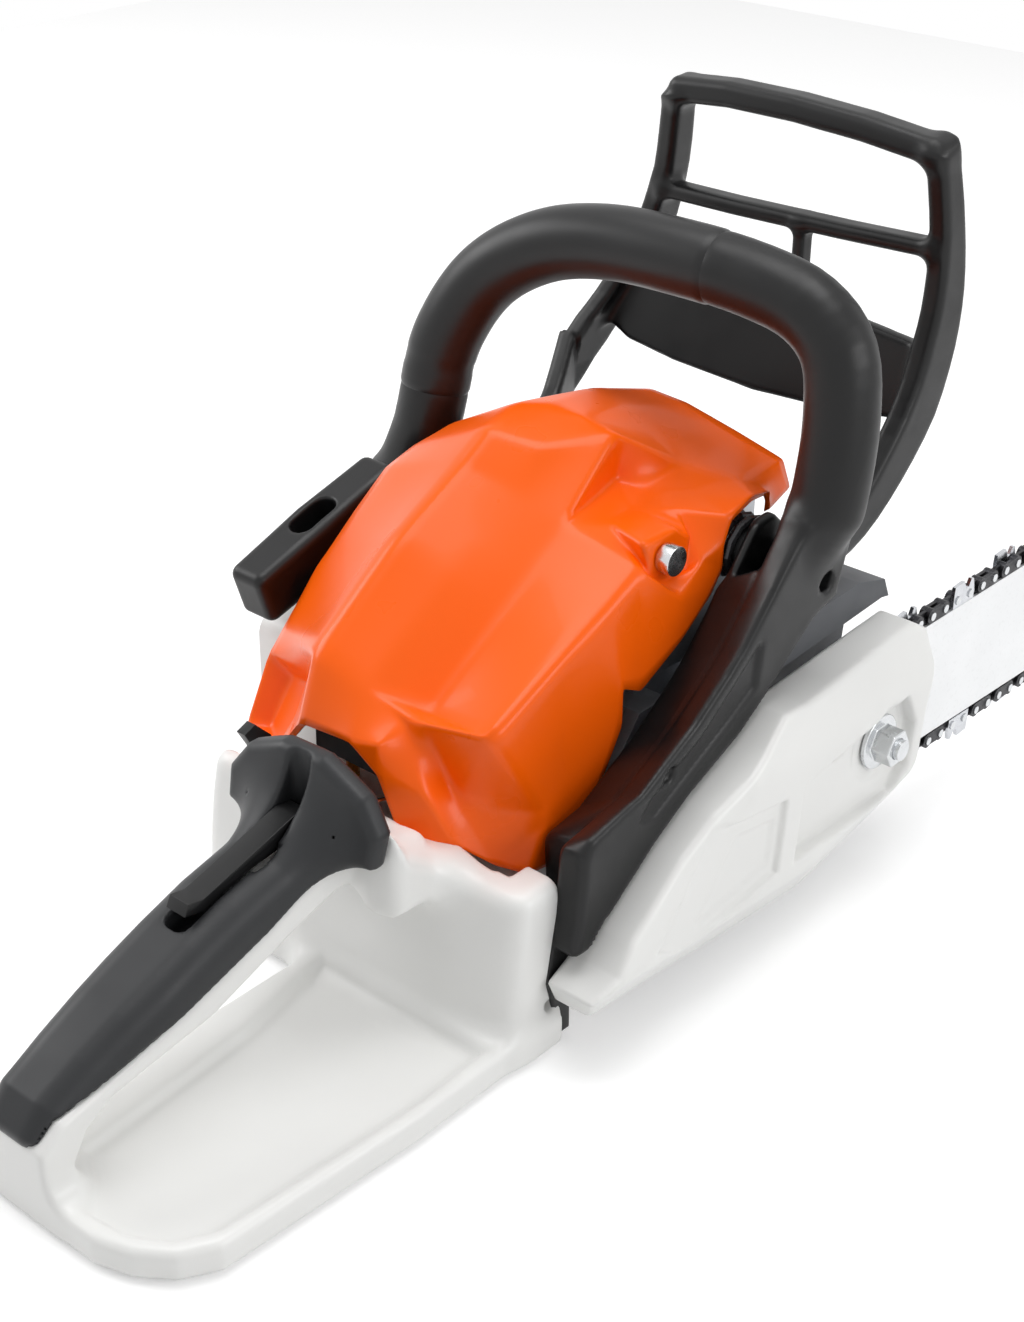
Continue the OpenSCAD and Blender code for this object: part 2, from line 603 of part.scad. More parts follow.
module shaft_seals() color("#222222") for (s = [-1, 1])
    ring_y([0, axis_z], s > 0 ? chamber_half + bearing_w : -seal_end,
        s > 0 ? seal_end : -chamber_half - bearing_w, 24 - 2 * run_fit, shaft_d + 2 * run_fit);

fly_y0 = 47;
fly_y1 = 58;

module flywheel() color("#a7abad") difference() {
    union() {
        rod_y([0, axis_z], fly_y0, fly_y0 + 4, flywheel_d);
        rod_y([0, axis_z], 36, fly_y1 + 8, 24);
        ring_y([0, axis_z], 38, fly_y0 + 1, 64, 50);
        for (a = [0:24:336]) translate([0, 0, axis_z]) rotate([0, a, 0])
            block([14, fly_y0 + 2, -1], [flywheel_d / 2 - 1, fly_y1 + 6, 1]);
    }
    rod_y([0, axis_z], 0, 90, shaft_d + 2 * run_fit);
}

coil_x = flywheel_d / 2 + 0.8;

module ignition_coil() color("#2b2b2b") difference() {
    union() {
        block([coil_x, 50, axis_z - 14], [coil_x + 3, 60, axis_z + 14]);
        block([coil_x - 0.2, case_left + seat_gap, axis_z - 14], [coil_x + 3, 51, axis_z - 6]);
    }
    block([coil_x - 1, 40, axis_z - 4], [coil_x + 2, 70, axis_z + 4]);
}

plug_at = [0, 0, head_z];

module along_plug() translate(plug_at) rotate([0, -25, 0]) children();

module spark_plug() color("silver") along_plug() {
    translate([0, 0, 3]) cylinder(d = 10 - 2 * run_fit, h = 11);
    translate([0, 0, 13.2]) cylinder(d = 16, h = 5, $fn = 6);
    translate([0, 0, 18]) cylinder(d = 9, h = 9);
}

lead_path = smooth([[-13, 4, head_z + 29], [-8, 24, head_z + 22], [8, 42, head_z + 9],
    [26, 46, head_z - 14], [42, 51, head_z - 36], [coil_x + 5.8, 55, head_z - 52],
    [coil_x + 5.8, 55, axis_z + 11]], 4);

module ignition_lead() color("#161616") {
    along_plug() difference() {
        translate([0, 0, 18.5]) cylinder(d = 15, h = 15);
        translate([0, 0, 17]) cylinder(d = 9 + 2 * run_fit, h = 10.2);
    }
    tube(lead_path, 2.5, 8, [1, 0, 0]);
    block([coil_x + 3.2, 51, axis_z - 4], [coil_x + 8.5, 59, axis_z + 12]);
}

module muffler() color("#6b6d6e") difference() {
    block([36 + seat_gap, -32, case_top + 0.5], [68, 30, 136]);
    block([39, -29, 95], [65, 27, 133]);
    translate([30, 0, axis_z + 48]) rotate([0, 90, 0]) cylinder(d = 15, h = 12);
    translate([60, -10, 104]) rotate([0, 90, 0]) cylinder(d = 10, h = 20);
}

module intake_boot() color("#1d1d1d") difference() {
    translate([-38 - seat_gap, 0, intake_z]) rotate([0, -90, 0]) cylinder(d = 24, h = 14);
    translate([-30, 0, intake_z]) rotate([0, -90, 0]) cylinder(d = 14, h = 40);
}

module carburettor() color("#b4b7b9") difference() {
    block([-84, -17, intake_z - 16], [-52.5 - seat_gap, 19, intake_z + 16]);
    translate([-50, 0, intake_z]) rotate([0, -90, 0]) cylinder(d = 14, h = 40);
    rod_y([-62, intake_z], -30, 30, 4 + 2 * run_fit);
}

module throttle_shaft() color("#c8b070") {
    rod_y([-62, intake_z], -21, 23, 4);
    translate([-62, 0, intake_z]) rotate([0, 70, 0]) cylinder(d = 13, h = 1, center = true);
    difference() {
        side_plate(-20.5, -18.5, [[-65, intake_z - 3], [-59, intake_z - 3], [-58, intake_z + 3],
            [-60, intake_z + 9], [-64, intake_z + 9], [-66, intake_z + 3]]);
        rod_y([-62, intake_z + 7], -30, -10, 1.6);
    }
}

module air_filter() color("#e9e4d4") difference() {
    back = -84 - seat_gap;
    side_plate(-24, 26, [[back, intake_z - 22], [back, intake_z + 9], [-96, intake_z + 7],
        [-110, intake_z - 3], [-110, intake_z - 22]]);
    side_plate(-21, 23, [[-80, intake_z - 19], [-80, intake_z + 7], [-95, intake_z + 4],
        [-107, intake_z - 5], [-107, intake_z - 19]]);
}

module fuel_line() color("#c9a227") tube(smooth([[-84, 34, 38], [-84, 34, 56], [-82, 34, 70],
    [-74, 32, 84], [-68, 27, intake_z - 7], [-67, 21.8, intake_z - 4]], 4), 2.5, 8, [1, 0, 0]);

// ---------- clutch, brake and oil pump ----------

drum_y0 = -78;
drum_y1 = -57;

module clutch_hub() color("#74787b") difference() {
    union() {
        for (a = [0:120:240]) translate([0, -74, axis_z]) rotate([0, a + 60, 0]) rotate([-90, 0, 0])
            linear_extrude(12) intersection() {
                difference() {
                    circle(d = drum_d - 7.5);
                    circle(d = 26);
                }
                polygon([[0, 0], [60, -92], [60, 92]]);
            }
        rod_y([0, axis_z], -74, -60, 25);
        ring_y([0, axis_z], -61.5, -60.3, 40, 20);
    }
    rod_y([0, axis_z], -90, -40, shaft_d + 2 * run_fit);
}

// Rim sprocket: the tie straps ride on its two flanges, and the tangs run between them.
flange_r = drive_r - 4.1;
tang_root = drive_r - 9.6;

module clutch_drum() color("#9ea1a3") {
    difference() {
        union() {
            difference() {
                rod_y([0, axis_z], drum_y0, drum_y1, drum_d);
                rod_y([0, axis_z], drum_y0 + 2, drum_y1 + 1, drum_d - 4);
            }
            for (s = [-1, 1]) translate([0, bar_y + s * 2, 0]) rod_y([0, axis_z], -1, 1, 2 * flange_r);
            rod_y([0, axis_z], bar_y - 3, drum_y0 + 0.1, 2 * tang_root);
        }
        rod_y([0, axis_z], -100, -50, shaft_d + 2 * run_fit);
    }
}

module brake_band() color("#55585a") {
    difference() {
        ring_y([0, axis_z], -70, -62.3, drum_d + 5, drum_d + 2.4);
        block([20, -80, axis_z - 6], [50, -50, axis_z + 6]);
    }
    block([drum_d / 2 + 0.6, -70, axis_z + 6], [drum_d / 2 + 3.4, -62.3, axis_z + 12]);
}

module oil_pump() color("#303030") difference() {
    union() {
        ring_y([0, axis_z], -49, -34 - seat_gap, 34, 24);
        block([-30, -49, axis_z - 7], [-16.5, -37, axis_z + 7]);
    }
    rod_y([0, axis_z], -60, -20, 24);
}

// ---------- bar and chain ----------

// Half outline of the bar, from the tail over the rail to the nose tip. The rail lies
// rail_drop inside the chain path.
function arc_points(p, n) = [for (i = [0:n]) let (a = p[2] + (p[3] - p[2]) * i / n)
    [p[1][0] + (p[1][2] - rail_drop) * cos(a), p[1][1] + (p[1][2] - rail_drop) * sin(a)]];
tail_x = 40;
tail_dir = unit(upper[1][2] - upper[1][1]);
tail = upper[1][1] + tail_dir * (tail_x - upper[1][1][0]) / tail_dir[0]
    + rail_drop * [tail_dir[1], -tail_dir[0]];
rail = concat([tail], arc_points(upper[2], 5), arc_points(upper[4], 5));
bar_half = concat([[tail_x - 6, 12]], rail, arc_points(upper[6], 18));
tang_depth = 6;

// A closed outline from its upper half.
function both_halves(half) = concat(half, [for (i = [len(half) - 1:-1:0])
    if (half[i][1] > 0.01) [half[i][0], -half[i][1]]]);

module groove_layer() translate([0, 0, -gauge / 2 - 0.15]) linear_extrude(gauge + 0.3) children();

module guide_bar() color("#e4e6e7") bar_frame() difference() {
    translate([0, 0, -bar_t / 2]) linear_extrude(bar_t) polygon(both_halves(bar_half));
    // groove for the drive links, and the pocket of the nose sprocket
    groove_layer() difference() {
        translate([20, -60]) square([nose_x, 120]);
        polygon(both_halves(concat([[tail_x - 8, 8]], [for (q = rail) [q[0], q[1] - tang_depth]],
            [[nose_x - 8, nose_r - rail_drop - tang_depth]])));
    }
    groove_layer() translate([nose_x, 0]) circle(r = nose_r - 1.5, $fn = 96);
    // adjusting slot, tensioner holes and nose axle
    translate([0, 0, -5]) linear_extrude(10) {
        translate([44, -stud_d / 2 - 0.2]) square([46, stud_d + 0.4]);
        for (s = [-1, 1]) translate([48, s * 14]) circle(d = 6);
    }
    translate([nose_x, 0, -5]) cylinder(d = 9 + 2 * run_fit, h = 10);
}

// The nose sprocket is kept just inside the tips of the tangs.
module nose_sprocket() color("#6f7375") bar_frame() translate([nose_x, 0, 0]) {
    translate([0, 0, -gauge / 2]) linear_extrude(gauge) difference() {
        circle(r = nose_r - 9.3, $fn = 96);
        for (k = [0:nose_teeth - 1]) rotate([0, 0, k * 360 / nose_teeth])
            translate([nose_r - 8, 0]) circle(d = 6, $fn = 24);
    }
    translate([0, 0, -bar_t / 2]) cylinder(d = 9, h = bar_t);
}

module chain_drive_links() color("#2c2c2e") bar_frame() for (k = [0:2:2 * drive_links - 1])
    link(k, -gauge / 2, gauge / 2) drive_shape();

strap_in = gauge / 2 + 0.1;

// Every fourth odd link carries a cutter, by turns on the left and on the right.
function cutter_side(k) = (k % 8 == 1) ? 1 : (k % 8 == 5) ? -1 : 0;

module chain_straps() color("#2c2c2e") bar_frame() for (k = [1:2:2 * drive_links - 1]) {
    c = cutter_side(k);
    if (c <= 0) link(k, strap_in, strap_in + strap_t) strap_shape();
    if (c >= 0) link(k, -strap_in - strap_t, -strap_in) strap_shape();
}

module chain_cutters() color("#b9bcbf") bar_frame() for (k = [1:2:2 * drive_links - 1]) {
    c = cutter_side(k);
    if (c > 0) link(k, strap_in, strap_in + strap_t) cutter_shape();
    if (c < 0) link(k, -strap_in - strap_t, -strap_in) cutter_shape();
}

module chain_rivets() color("silver") bar_frame() for (q = rivets) translate(concat(q[0], 0)) {
    translate([0, 0, -strap_in - strap_t - 0.6]) cylinder(d = rivet_d, h = 2 * (strap_in + strap_t + 0.6),
        $fn = 16);
}

module bar_stud() color("silver") rod_y([stud_x, nut_z], cover_out - 6, -42, stud_d);

module bar_nut() color("silver") difference() {
    union() {
        translate([stud_x, nut_face - seat_gap, nut_z]) rotate([90, 0, 0]) cylinder(d = 22, h = 2);
        translate([stud_x, nut_face - 2, nut_z]) rotate([90, 0, 0]) cylinder(d = 15, h = 8, $fn = 6);
    }
    rod_y([stud_x, nut_z], cover_out - 20, -80, stud_d + 2 * run_fit);
}

module tensioner() color("silver") {
    rod_y([48, axis_z + 14 - 48 * tan(bar_tilt)], bar_y - 3.4, -66, 5);
    translate([38, -68, axis_z + 14 - 48 * tan(bar_tilt)]) rotate([0, 90, 0]) cylinder(d = 5, h = 50);
}

// ---------- spring mounts and fasteners ----------

module coil(at, y0, y1, r, wire, turns) {
    p = [for (i = [0:turns * 12]) let (f = i / (turns * 12))
        [at[0] + r * cos(i * 30), y0 + wire + (y1 - y0 - 2 * wire) * f, at[1] + r * sin(i * 30)]];
    tube(p, wire, 8, [0, 1, 0]);
}

spring_at = [25, 138];

module av_springs() color("#3a3a3a") {
    coil(spring_at, leg_in - 2 + seat_gap, -46 - seat_gap, 11, 1.7, 3);
}

module av_plugs() color("#141414") {
    rod_y(spring_at, leg_in - 2 + seat_gap, leg_in + 4, 17);
    rod_y(spring_at, -50, -46 - seat_gap, 17);
    // rubber buffers at the left foot and between the tank and the crankcase
    rod_y([12, 6], 44 + seat_gap, case_left + 5 - seat_gap, 9);
    for (y = [-30, 30]) translate([-70 + seat_gap, y, 30]) rotate([0, 90, 0])
        cylinder(d = 14, h = 6 - 2 * seat_gap);
}

module screw_y(at, head_at, tip_at, d = 5) {
    s = sign(head_at - tip_at);
    rod_y(at, min(head_at, tip_at), max(head_at, tip_at), d);
    rod_y(at, s > 0 ? head_at : head_at - 3, s > 0 ? head_at + 3 : head_at, d * 1.8);
}

module housing_screws() color("silver") {
    for (q = starter_screws) screw_y(q, starter_face + seat_gap, 41);
}

// ---------- moving pieces ----------

// A bar of rectangular section, a across and b deep, along the points p.
module strip(p, a, b) loft([for (i = [0:len(p) - 1])
    let (t = tangent(p, i), u = unit(cross(t, [0, 1, 0])))
    [p[i] + [0, a / 2, 0] - b[i] / 2 * u, p[i] + [0, a / 2, 0] + b[i] / 2 * u,
     p[i] - [0, a / 2, 0] + b[i] / 2 * u, p[i] - [0, a / 2, 0] - b[i] / 2 * u]]);

arm_mid = (arm_out + arm_in) / 2;
guard_rise = guard_top_z - 275;
right_post = [[32, arm_mid, 132], [52, arm_mid, 130], [74, arm_mid, 136], [94, arm_mid, 151],
    [111, arm_mid, 170], [121, arm_mid, 192], [124, arm_mid, 212], [121, arm_mid, 236],
    [113, arm_mid, 262 + guard_rise], [110, arm_mid, 269 + guard_rise]];
left_post = [[32, 69, 132], [52, 71, 131], [74, 76, 137], [94, 84, 151], [110, 80, 170], [119, 70, 192],
    [121, 62, 212], [119, 54, 236], [113, 47, 262 + guard_rise], [110, 45, 269 + guard_rise]];

module hand_guard() color("#1a1a1a") difference() {
    union() {
        strip(right_post, arm_in - arm_out, [16, 15, 17, 20, 22, 22, 18, 14, 12, 12]);
        strip(left_post, 9, [16, 15, 17, 20, 22, 22, 18, 14, 12, 12]);
        rod_y(pivot, arm_out, arm_in, 2 * hub_r - 2);
        rod_y(pivot, 64, 75, 2 * hub_r - 2);
        // top bar, cross bar and divider
        loft([for (q = [[46, 268], [20, 271], [-10, 271], [-40, 269], [arm_mid, 265]])
            [[105, q[0], q[1] - 5 + guard_rise], [118, q[0], q[1] - 5 + guard_rise],
             [118, q[0], q[1] + 5 + guard_rise], [107, q[0], q[1] + 5 + guard_rise]]]);
        loft([for (q = [[56, 226], [20, 226], [-30, 227], [arm_mid, 229]])
            [[114, q[0], q[1] - 3], [124, q[0], q[1] - 3], [123, q[0], q[1] + 3], [113, q[0], q[1] + 3]]]);
        block([116, -13, 196], [123, -9, 226]);
        // solid plate below
        loft([for (q = [[78, 176], [40, 168], [0, 166], [-40, 168], [arm_mid, 176]])
            [[108, q[0], q[1] - 8], [113, q[0], q[1] - 8], [124, q[0], 202], [119, q[0], 202]]]);
    }
    rod_y(pivot, -90, 90, pivot_d + 2 * run_fit);
}

module guard_pin() color("silver") {
    rod_y(pivot, leg_out + 6.2, leg_in - 2, pivot_d);
    rod_y(pivot, 63, 82, pivot_d);
}

module throttle_trigger() color("#161616") difference() {
    side_plate(handle_y - 6, handle_y + 6, [[-147, 66], [-146, 71], [-141, 73], [-137, 70], [-138, 64],
        [-150, 58], [-161, 48], [-166, 48], [-168, 52], [-160, 60], [-153, 65]]);
    rod_y([-142, 68], -30, 30, 4 + 2 * run_fit);
}

module trigger_pin() color("silver")
    rod_y([-142, 68], handle_y - beam_w / 2 + 2, handle_y + beam_w / 2 - 2, 4);

module throttle_interlock() color("#161616") difference() {
    side_plate(handle_y - 4.5, handle_y + 4.5, [[-204, 76], [-202, 80], [-196, 79], [-176, 85],
        [-156, 91], [-149, 90], [-148, 85], [-153, 83], [-176, 80], [-196, 74.5]]);
    rod_y([-152, 87], -30, 30, 3 + 2 * run_fit);
}

module interlock_pin() color("silver") rod_y([-152, 87], handle_y - 13, handle_y + 13, 3);

module throttle_rod() color("silver") tube(smooth([[-139.5, handle_y, 77], [-134, handle_y - 3, 82],
    [-122, -20, 88], [-105, -31, 92], [-80, -30, 97], [-66, -23, intake_z + 6],
    [-61, -21.7, intake_z + 7]], 3), 0.8, 8,
    [0, 1, 0]);

module control_lever() color("#161616") difference() {
    union() {
        rod_y(lever_pivot, lever_y, lever_y + 5, 12);
        side_plate(lever_y + 1, lever_y + 5, [[-128, 86], [-129, 94], [-136, 101], [-141, 99],
            [-137, 92], [-135, 84]]);
    }
    rod_y(lever_pivot, 20, 40, 5 + 2 * run_fit);
}

module cap(at, r, h) difference() {
    union() {
        rod_y([at[0], at[2]], at[1] + 0.3, at[1] + h, 2 * r);
        rod_y([at[0], at[2]], at[1] - 8, at[1] + 0.4, 2 * r * 0.62);
    }
    for (a = [0:36:324]) translate([at[0] + (r + 2) * cos(a), at[1] + h + 1, at[2] + (r + 2) * sin(a)])
        rotate([90, 0, 0]) cylinder(d = 7, h = h);
}

module fuel_cap() color("#161616") cap(fuel_cap, cap_r, 11);
module oil_cap() color("#161616") cap(oil_cap, 13, 10);

module rope_rotor() color("#2f5f3a") {
    ring_y([0, axis_z], starter_y - 5, starter_y - 3.2, 74, 10 + 2 * run_fit);
    ring_y([0, axis_z], starter_y + 2.2, starter_y + 2.9, 62, 10 + 2 * run_fit);
    ring_y([0, axis_z], starter_y - 4, starter_y + 2.9, 2 * groove_r, 10 + 2 * run_fit);
}

module recoil_spring() color("#8a8d8f") translate([0, starter_face - 4, axis_z]) rotate([90, 0, 0])
    linear_extrude(4.6) for (r = [8:2.4:21]) difference() {
        circle(r = r + 0.5);
        circle(r = r);
    }

module starter_pawl() color("#c8b070") rod_y([9, axis_z], fly_y1 + 8.2, fly_y1 + 12, 5);

module on_rope() translate([rope_foot[0], rope_y, axis_z + rope_foot[2]])
    rotate([0, -starter_tilt, 0]) children();

module starter_grip() color("#141414") on_rope() difference() {
    translate([0, 0, grip_rise - 12]) union() {
        hull() for (s = [-1, 1]) translate([s * 29, 0, 0]) cylinder(d = 20, h = 24, $fn = 32);
        translate([0, 0, -3]) cylinder(d = 16, h = 5);
    }
    translate([0, 0, 20]) cylinder(d = rope_d + 0.1, h = grip_rise - 24);
    translate([0, 0, grip_rise + 6]) hull() for (s = [-1, 1]) translate([s * 8, 0, 0])
        cylinder(d = 9, h = 10, $fn = 32);
}

module starter_rope() color("#e8e2d0") on_rope() translate([0, 0, -rope_below])
    cylinder(d = rope_d, h = rope_below + grip_rise - 6);

module rope_bushing() color("silver") on_rope() difference() {
    translate([0, 0, 40]) cylinder(d = 9, h = 8);
    translate([0, 0, 30]) cylinder(d = rope_d + 1, h = 30);
}

rear_housing();
rear_grip();
handle_frame();
handle_sleeve();
top_cover();
cover_screw();
crankcase();
brake_housing();
starter_housing();
sprocket_cover();
cylinder_part();  // cylinder
piston();
piston_pin();
connecting_rod();
crankshaft();
main_bearings();
shaft_seals();
flywheel();
ignition_coil();
spark_plug();
ignition_lead();
muffler();
intake_boot();
carburettor();
throttle_shaft();
air_filter();
clutch_hub();
clutch_drum();
brake_band();
oil_pump();
bar_stud();
bar_nut();
guide_bar();
tensioner();
chain_drive_links();
chain_straps();
chain_cutters();
chain_rivets();
nose_sprocket();
chain_catcher();
av_springs();
av_plugs();
housing_screws();
hand_guard();
guard_pin();
throttle_trigger();
trigger_pin();
throttle_interlock();
interlock_pin();
throttle_rod();
control_lever();
fuel_cap();
oil_cap();
rope_rotor();
recoil_spring();
starter_pawl();
starter_grip();
starter_rope();
rope_bushing();
fuel_line();
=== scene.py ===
# %% [markdown]
# # A compact petrol chainsaw
#
# The construction model gives every piece of the saw its place and size, and this lesson gives
# the pieces their looks: moulded shells with rounded edges, a bent handle tube with its soft
# sleeve, an oiled chain on a bright bar. Small steel pieces keep their construction shape and get
# a finish; the large mouldings are worked out again as smooth surfaces.

# %% Start: tools and the construction model
import json
import math
import bpy
import bmesh
import numpy as np
from mathutils import Matrix


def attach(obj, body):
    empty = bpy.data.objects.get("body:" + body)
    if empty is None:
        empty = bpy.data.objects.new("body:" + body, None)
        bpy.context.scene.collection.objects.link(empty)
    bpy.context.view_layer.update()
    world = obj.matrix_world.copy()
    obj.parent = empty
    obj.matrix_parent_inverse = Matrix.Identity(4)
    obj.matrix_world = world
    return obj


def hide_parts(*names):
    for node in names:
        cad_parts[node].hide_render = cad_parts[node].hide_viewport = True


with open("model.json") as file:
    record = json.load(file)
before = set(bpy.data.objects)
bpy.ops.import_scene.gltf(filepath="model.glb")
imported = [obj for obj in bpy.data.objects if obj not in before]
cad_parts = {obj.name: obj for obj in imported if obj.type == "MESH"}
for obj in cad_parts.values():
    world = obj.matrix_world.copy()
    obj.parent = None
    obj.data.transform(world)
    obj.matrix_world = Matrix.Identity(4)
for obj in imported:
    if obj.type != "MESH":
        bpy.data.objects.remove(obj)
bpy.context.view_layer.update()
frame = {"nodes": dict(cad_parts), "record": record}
nodes = frame["nodes"]
mm = 0.001

# %% [markdown]
# ## Finishes
#
# A moulded plastic looks flat when it has one colour. The real one has a slightly uneven
# colour, a fine grain from the mould and places where hands have rubbed it smoother. One helper
# lays these three over any base colour, with noise read in the object's own coordinates so that it
# stays on the piece. The same helper serves the metals, with a stretched grain for turned or
# rolled steel.

# %% One helper for all finishes
finishes = {}


def link(tree, a, b):
    tree.links.new(a, b)


def noise(tree, coords, size_mm, detail=2.0, stretch=(1.0, 1.0, 1.0)):
    """A noise whose patches are about size_mm across, drawn out along the axes by stretch."""
    place = tree.nodes.new("ShaderNodeMapping")
    place.inputs["Scale"].default_value = tuple(1.0 / (size_mm * mm * s) for s in stretch)
    link(tree, coords, place.inputs["Vector"])
    field = tree.nodes.new("ShaderNodeTexNoise")
    field.inputs["Scale"].default_value = 1.0
    field.inputs["Detail"].default_value = detail
    link(tree, place.outputs["Vector"], field.inputs["Vector"])
    return field.outputs["Fac"]


def remap(tree, value, low, high, from_low=0.3, from_high=0.7):
    """value, taken from its usual range to low..high."""
    node = tree.nodes.new("ShaderNodeMapRange")
    for key, number in zip(("From Min", "From Max", "To Min", "To Max"),
                           (from_low, from_high, low, high)):
        node.inputs[key].default_value = number
    link(tree, value, node.inputs["Value"])
    return node.outputs["Result"]


def tint(tree, fac, dark, light):
    """A colour between dark and light."""
    mix = tree.nodes.new("ShaderNodeMix")
    mix.data_type = "RGBA"
    mix.inputs["A"].default_value = (*dark, 1.0)
    mix.inputs["B"].default_value = (*light, 1.0)
    link(tree, fac, mix.inputs["Factor"])
    return mix.outputs["Result"]


def linear(color):
    """The linear value of an ordinary 0-255 colour."""
    c = np.array(color) / 255.0
    return tuple(np.where(c <= 0.04045, c / 12.92, ((c + 0.055) / 1.055) ** 2.4))


def finish(name, color, rough, uneven=0.05, patch=40.0, grain=0.5, depth=0.012, rub=0.06,
           metal=0.0, coat=0.0, stretch=(1.0, 1.0, 1.0), level=0.5, spots=None):
    """A finish: base colour with patches of a little darker and lighter, a grain of grain mm and
    depth mm, and a roughness that rises and falls by rub. spots is an optional second colour with
    its share, laid on in small specks, such as rust, oil or sawdust."""
    material = bpy.data.materials.new(name)
    material.use_nodes = True
    tree = material.node_tree
    shader = tree.nodes["Principled BSDF"]
    coords = tree.nodes.new("ShaderNodeTexCoord").outputs["Object"]
    base = np.array(linear(color))
    patches = noise(tree, coords, patch, 3.0)
    tone = tint(tree, remap(tree, patches, 0.0, 1.0), base * (1.0 - uneven),
                np.minimum(base * (1.0 + uneven * 0.6), 1.0))
    if spots:
        specks = remap(tree, noise(tree, coords, spots[2], 4.0), 0.0, spots[1], 0.56, 0.66)
        over = tree.nodes.new("ShaderNodeMix")
        over.data_type = "RGBA"
        link(tree, tone, over.inputs["A"])
        over.inputs["B"].default_value = (*linear(spots[0]), 1.0)
        link(tree, specks, over.inputs["Factor"])
        tone = over.outputs["Result"]
    link(tree, tone, shader.inputs["Base Color"])
    worn = noise(tree, coords, patch * 0.6, 4.0, stretch)
    link(tree, remap(tree, worn, rough - rub, rough + rub), shader.inputs["Roughness"])
    fine = noise(tree, coords, grain, 2.0, stretch)
    bump = tree.nodes.new("ShaderNodeBump")
    bump.inputs["Distance"].default_value = depth * mm
    bump.inputs["Strength"].default_value = 0.6
    link(tree, fine, bump.inputs["Height"])
    link(tree, bump.outputs["Normal"], shader.inputs["Normal"])
    shader.inputs["Metallic"].default_value = metal
    shader.inputs["Specular IOR Level"].default_value = level
    shader.inputs["Coat Weight"].default_value = coat
    shader.inputs["Coat Roughness"].default_value = 0.06
    finishes[name] = material
    return material


# %% [markdown]
# ## Plastics and rubbers
#
# Four plastics make up the saw's face: a white satin polyamide for the housings, a glossy orange
# for the engine cover, black glass-filled polyamide for the handle frame and guard, and a soft
# dark elastomer on the grips. The moulded black is the roughest, since its glass fibres lie at
# the surface; the orange has a clear gloss over it, so it gets a coat.

# %% Plastics
finish("housing_white", (236, 236, 234), 0.34, 0.02, 60, 0.7, 0.008, 0.05, level=0.45)
finish("cover_orange", (255, 98, 0), 0.3, 0.03, 70, 1.2, 0.004, 0.04, coat=0.06, level=0.25)
finish("frame_black", (15, 15, 16), 0.4, 0.18, 30, 0.45, 0.02, 0.07, level=0.35)
finish("grip_soft", (38, 39, 41), 0.46, 0.10, 35, 0.4, 0.02, 0.06, level=0.35)
finish("sleeve_black", (20, 20, 21), 0.38, 0.12, 35, 0.6, 0.012, 0.06, level=0.38)
finish("housing_grey", (78, 80, 84), 0.5, 0.08, 30, 0.5, 0.02, 0.06)
finish("rubber_black", (24, 24, 25), 0.62, 0.15, 12, 0.4, 0.02, 0.08)
finish("plastic_green", (44, 84, 58), 0.45, 0.08, 18, 0.5, 0.015)
finish("fuel_amber", (196, 142, 38), 0.3, 0.1, 10, 0.8, 0.01)
print(len(finishes), "plastics")

# %% [markdown]
# ## Metals, felt and rope
#
# Turned and rolled steel shows fine lines in the direction it was worked, so its grain is drawn
# out along one axis. The chain is blued steel under a film of oil, and takes dark patches. The
# air filter is a felt, and the rope a braid: both are rough with a coarse grain.

# %% Metals and fibres
finish("cast_grey", (150, 153, 158), 0.5, 0.1, 14, 0.6, 0.05, 0.08, metal=0.7)
finish("cylinder_alu", (198, 200, 203), 0.42, 0.08, 12, 0.5, 0.04, 0.08, metal=0.85)
finish("steel", (176, 178, 182), 0.32, 0.10, 9, 0.25, 0.01, 0.08, metal=1.0, stretch=(1, 8, 1))
finish("zinc", (214, 216, 218), 0.24, 0.06, 6, 0.3, 0.008, 0.06, metal=1.0)
finish("bar_steel", (238, 239, 240), 0.4, 0.03, 30, 0.35, 0.006, 0.06, metal=0.5,
       stretch=(12, 1, 1), spots=((196, 196, 196), 0.12, 2.0))
finish("chain_black", (58, 58, 61), 0.34, 0.2, 4, 0.3, 0.02, 0.1, metal=0.85,
       spots=((24, 22, 20), 0.6, 2.0))
finish("cutter_chrome", (206, 208, 212), 0.22, 0.08, 4, 0.3, 0.01, 0.08, metal=1.0)
finish("spring_black", (62, 62, 64), 0.3, 0.15, 5, 0.4, 0.015, 0.08, metal=0.6)
finish("brass", (196, 158, 92), 0.35, 0.1, 6, 0.3, 0.01, metal=1.0)
finish("filter_felt", (46, 47, 48), 0.9, 0.08, 5, 0.35, 0.12, 0.04)
finish("rope_white", (222, 218, 200), 0.85, 0.1, 3, 0.5, 0.15, 0.05, stretch=(1, 1, 2))
print(len(finishes), "finishes")

# %% [markdown]
# ## Finishes onto the construction nodes
#
# The record names a material slot for every node. Each node keeps its own mesh, and its slots
# take the finish of that name.

# %% Dress the construction nodes
slot_of = {part["node"]: part["material_slot"] for part in frame["record"]["subparts"]}
for node, piece in nodes.items():
    for place in piece.material_slots:
        place.material = finishes[slot_of[node]]
print("dressed", len(slot_of), "nodes")

# %% [markdown]
# ## Rounded copies
#
# No moulding comes out of its tool with a knife edge. A piece whose shape is right but whose edges
# are sharp is copied from the construction node, welded, cleared of the lines inside its flat
# faces, and its edges are rounded. The copy stands in for the node and rides on the same body.

# %% The rounding helper
body_of = {node: body for body, members in frame["record"]["behaviour"]["bodies"].items()
           for node in members}


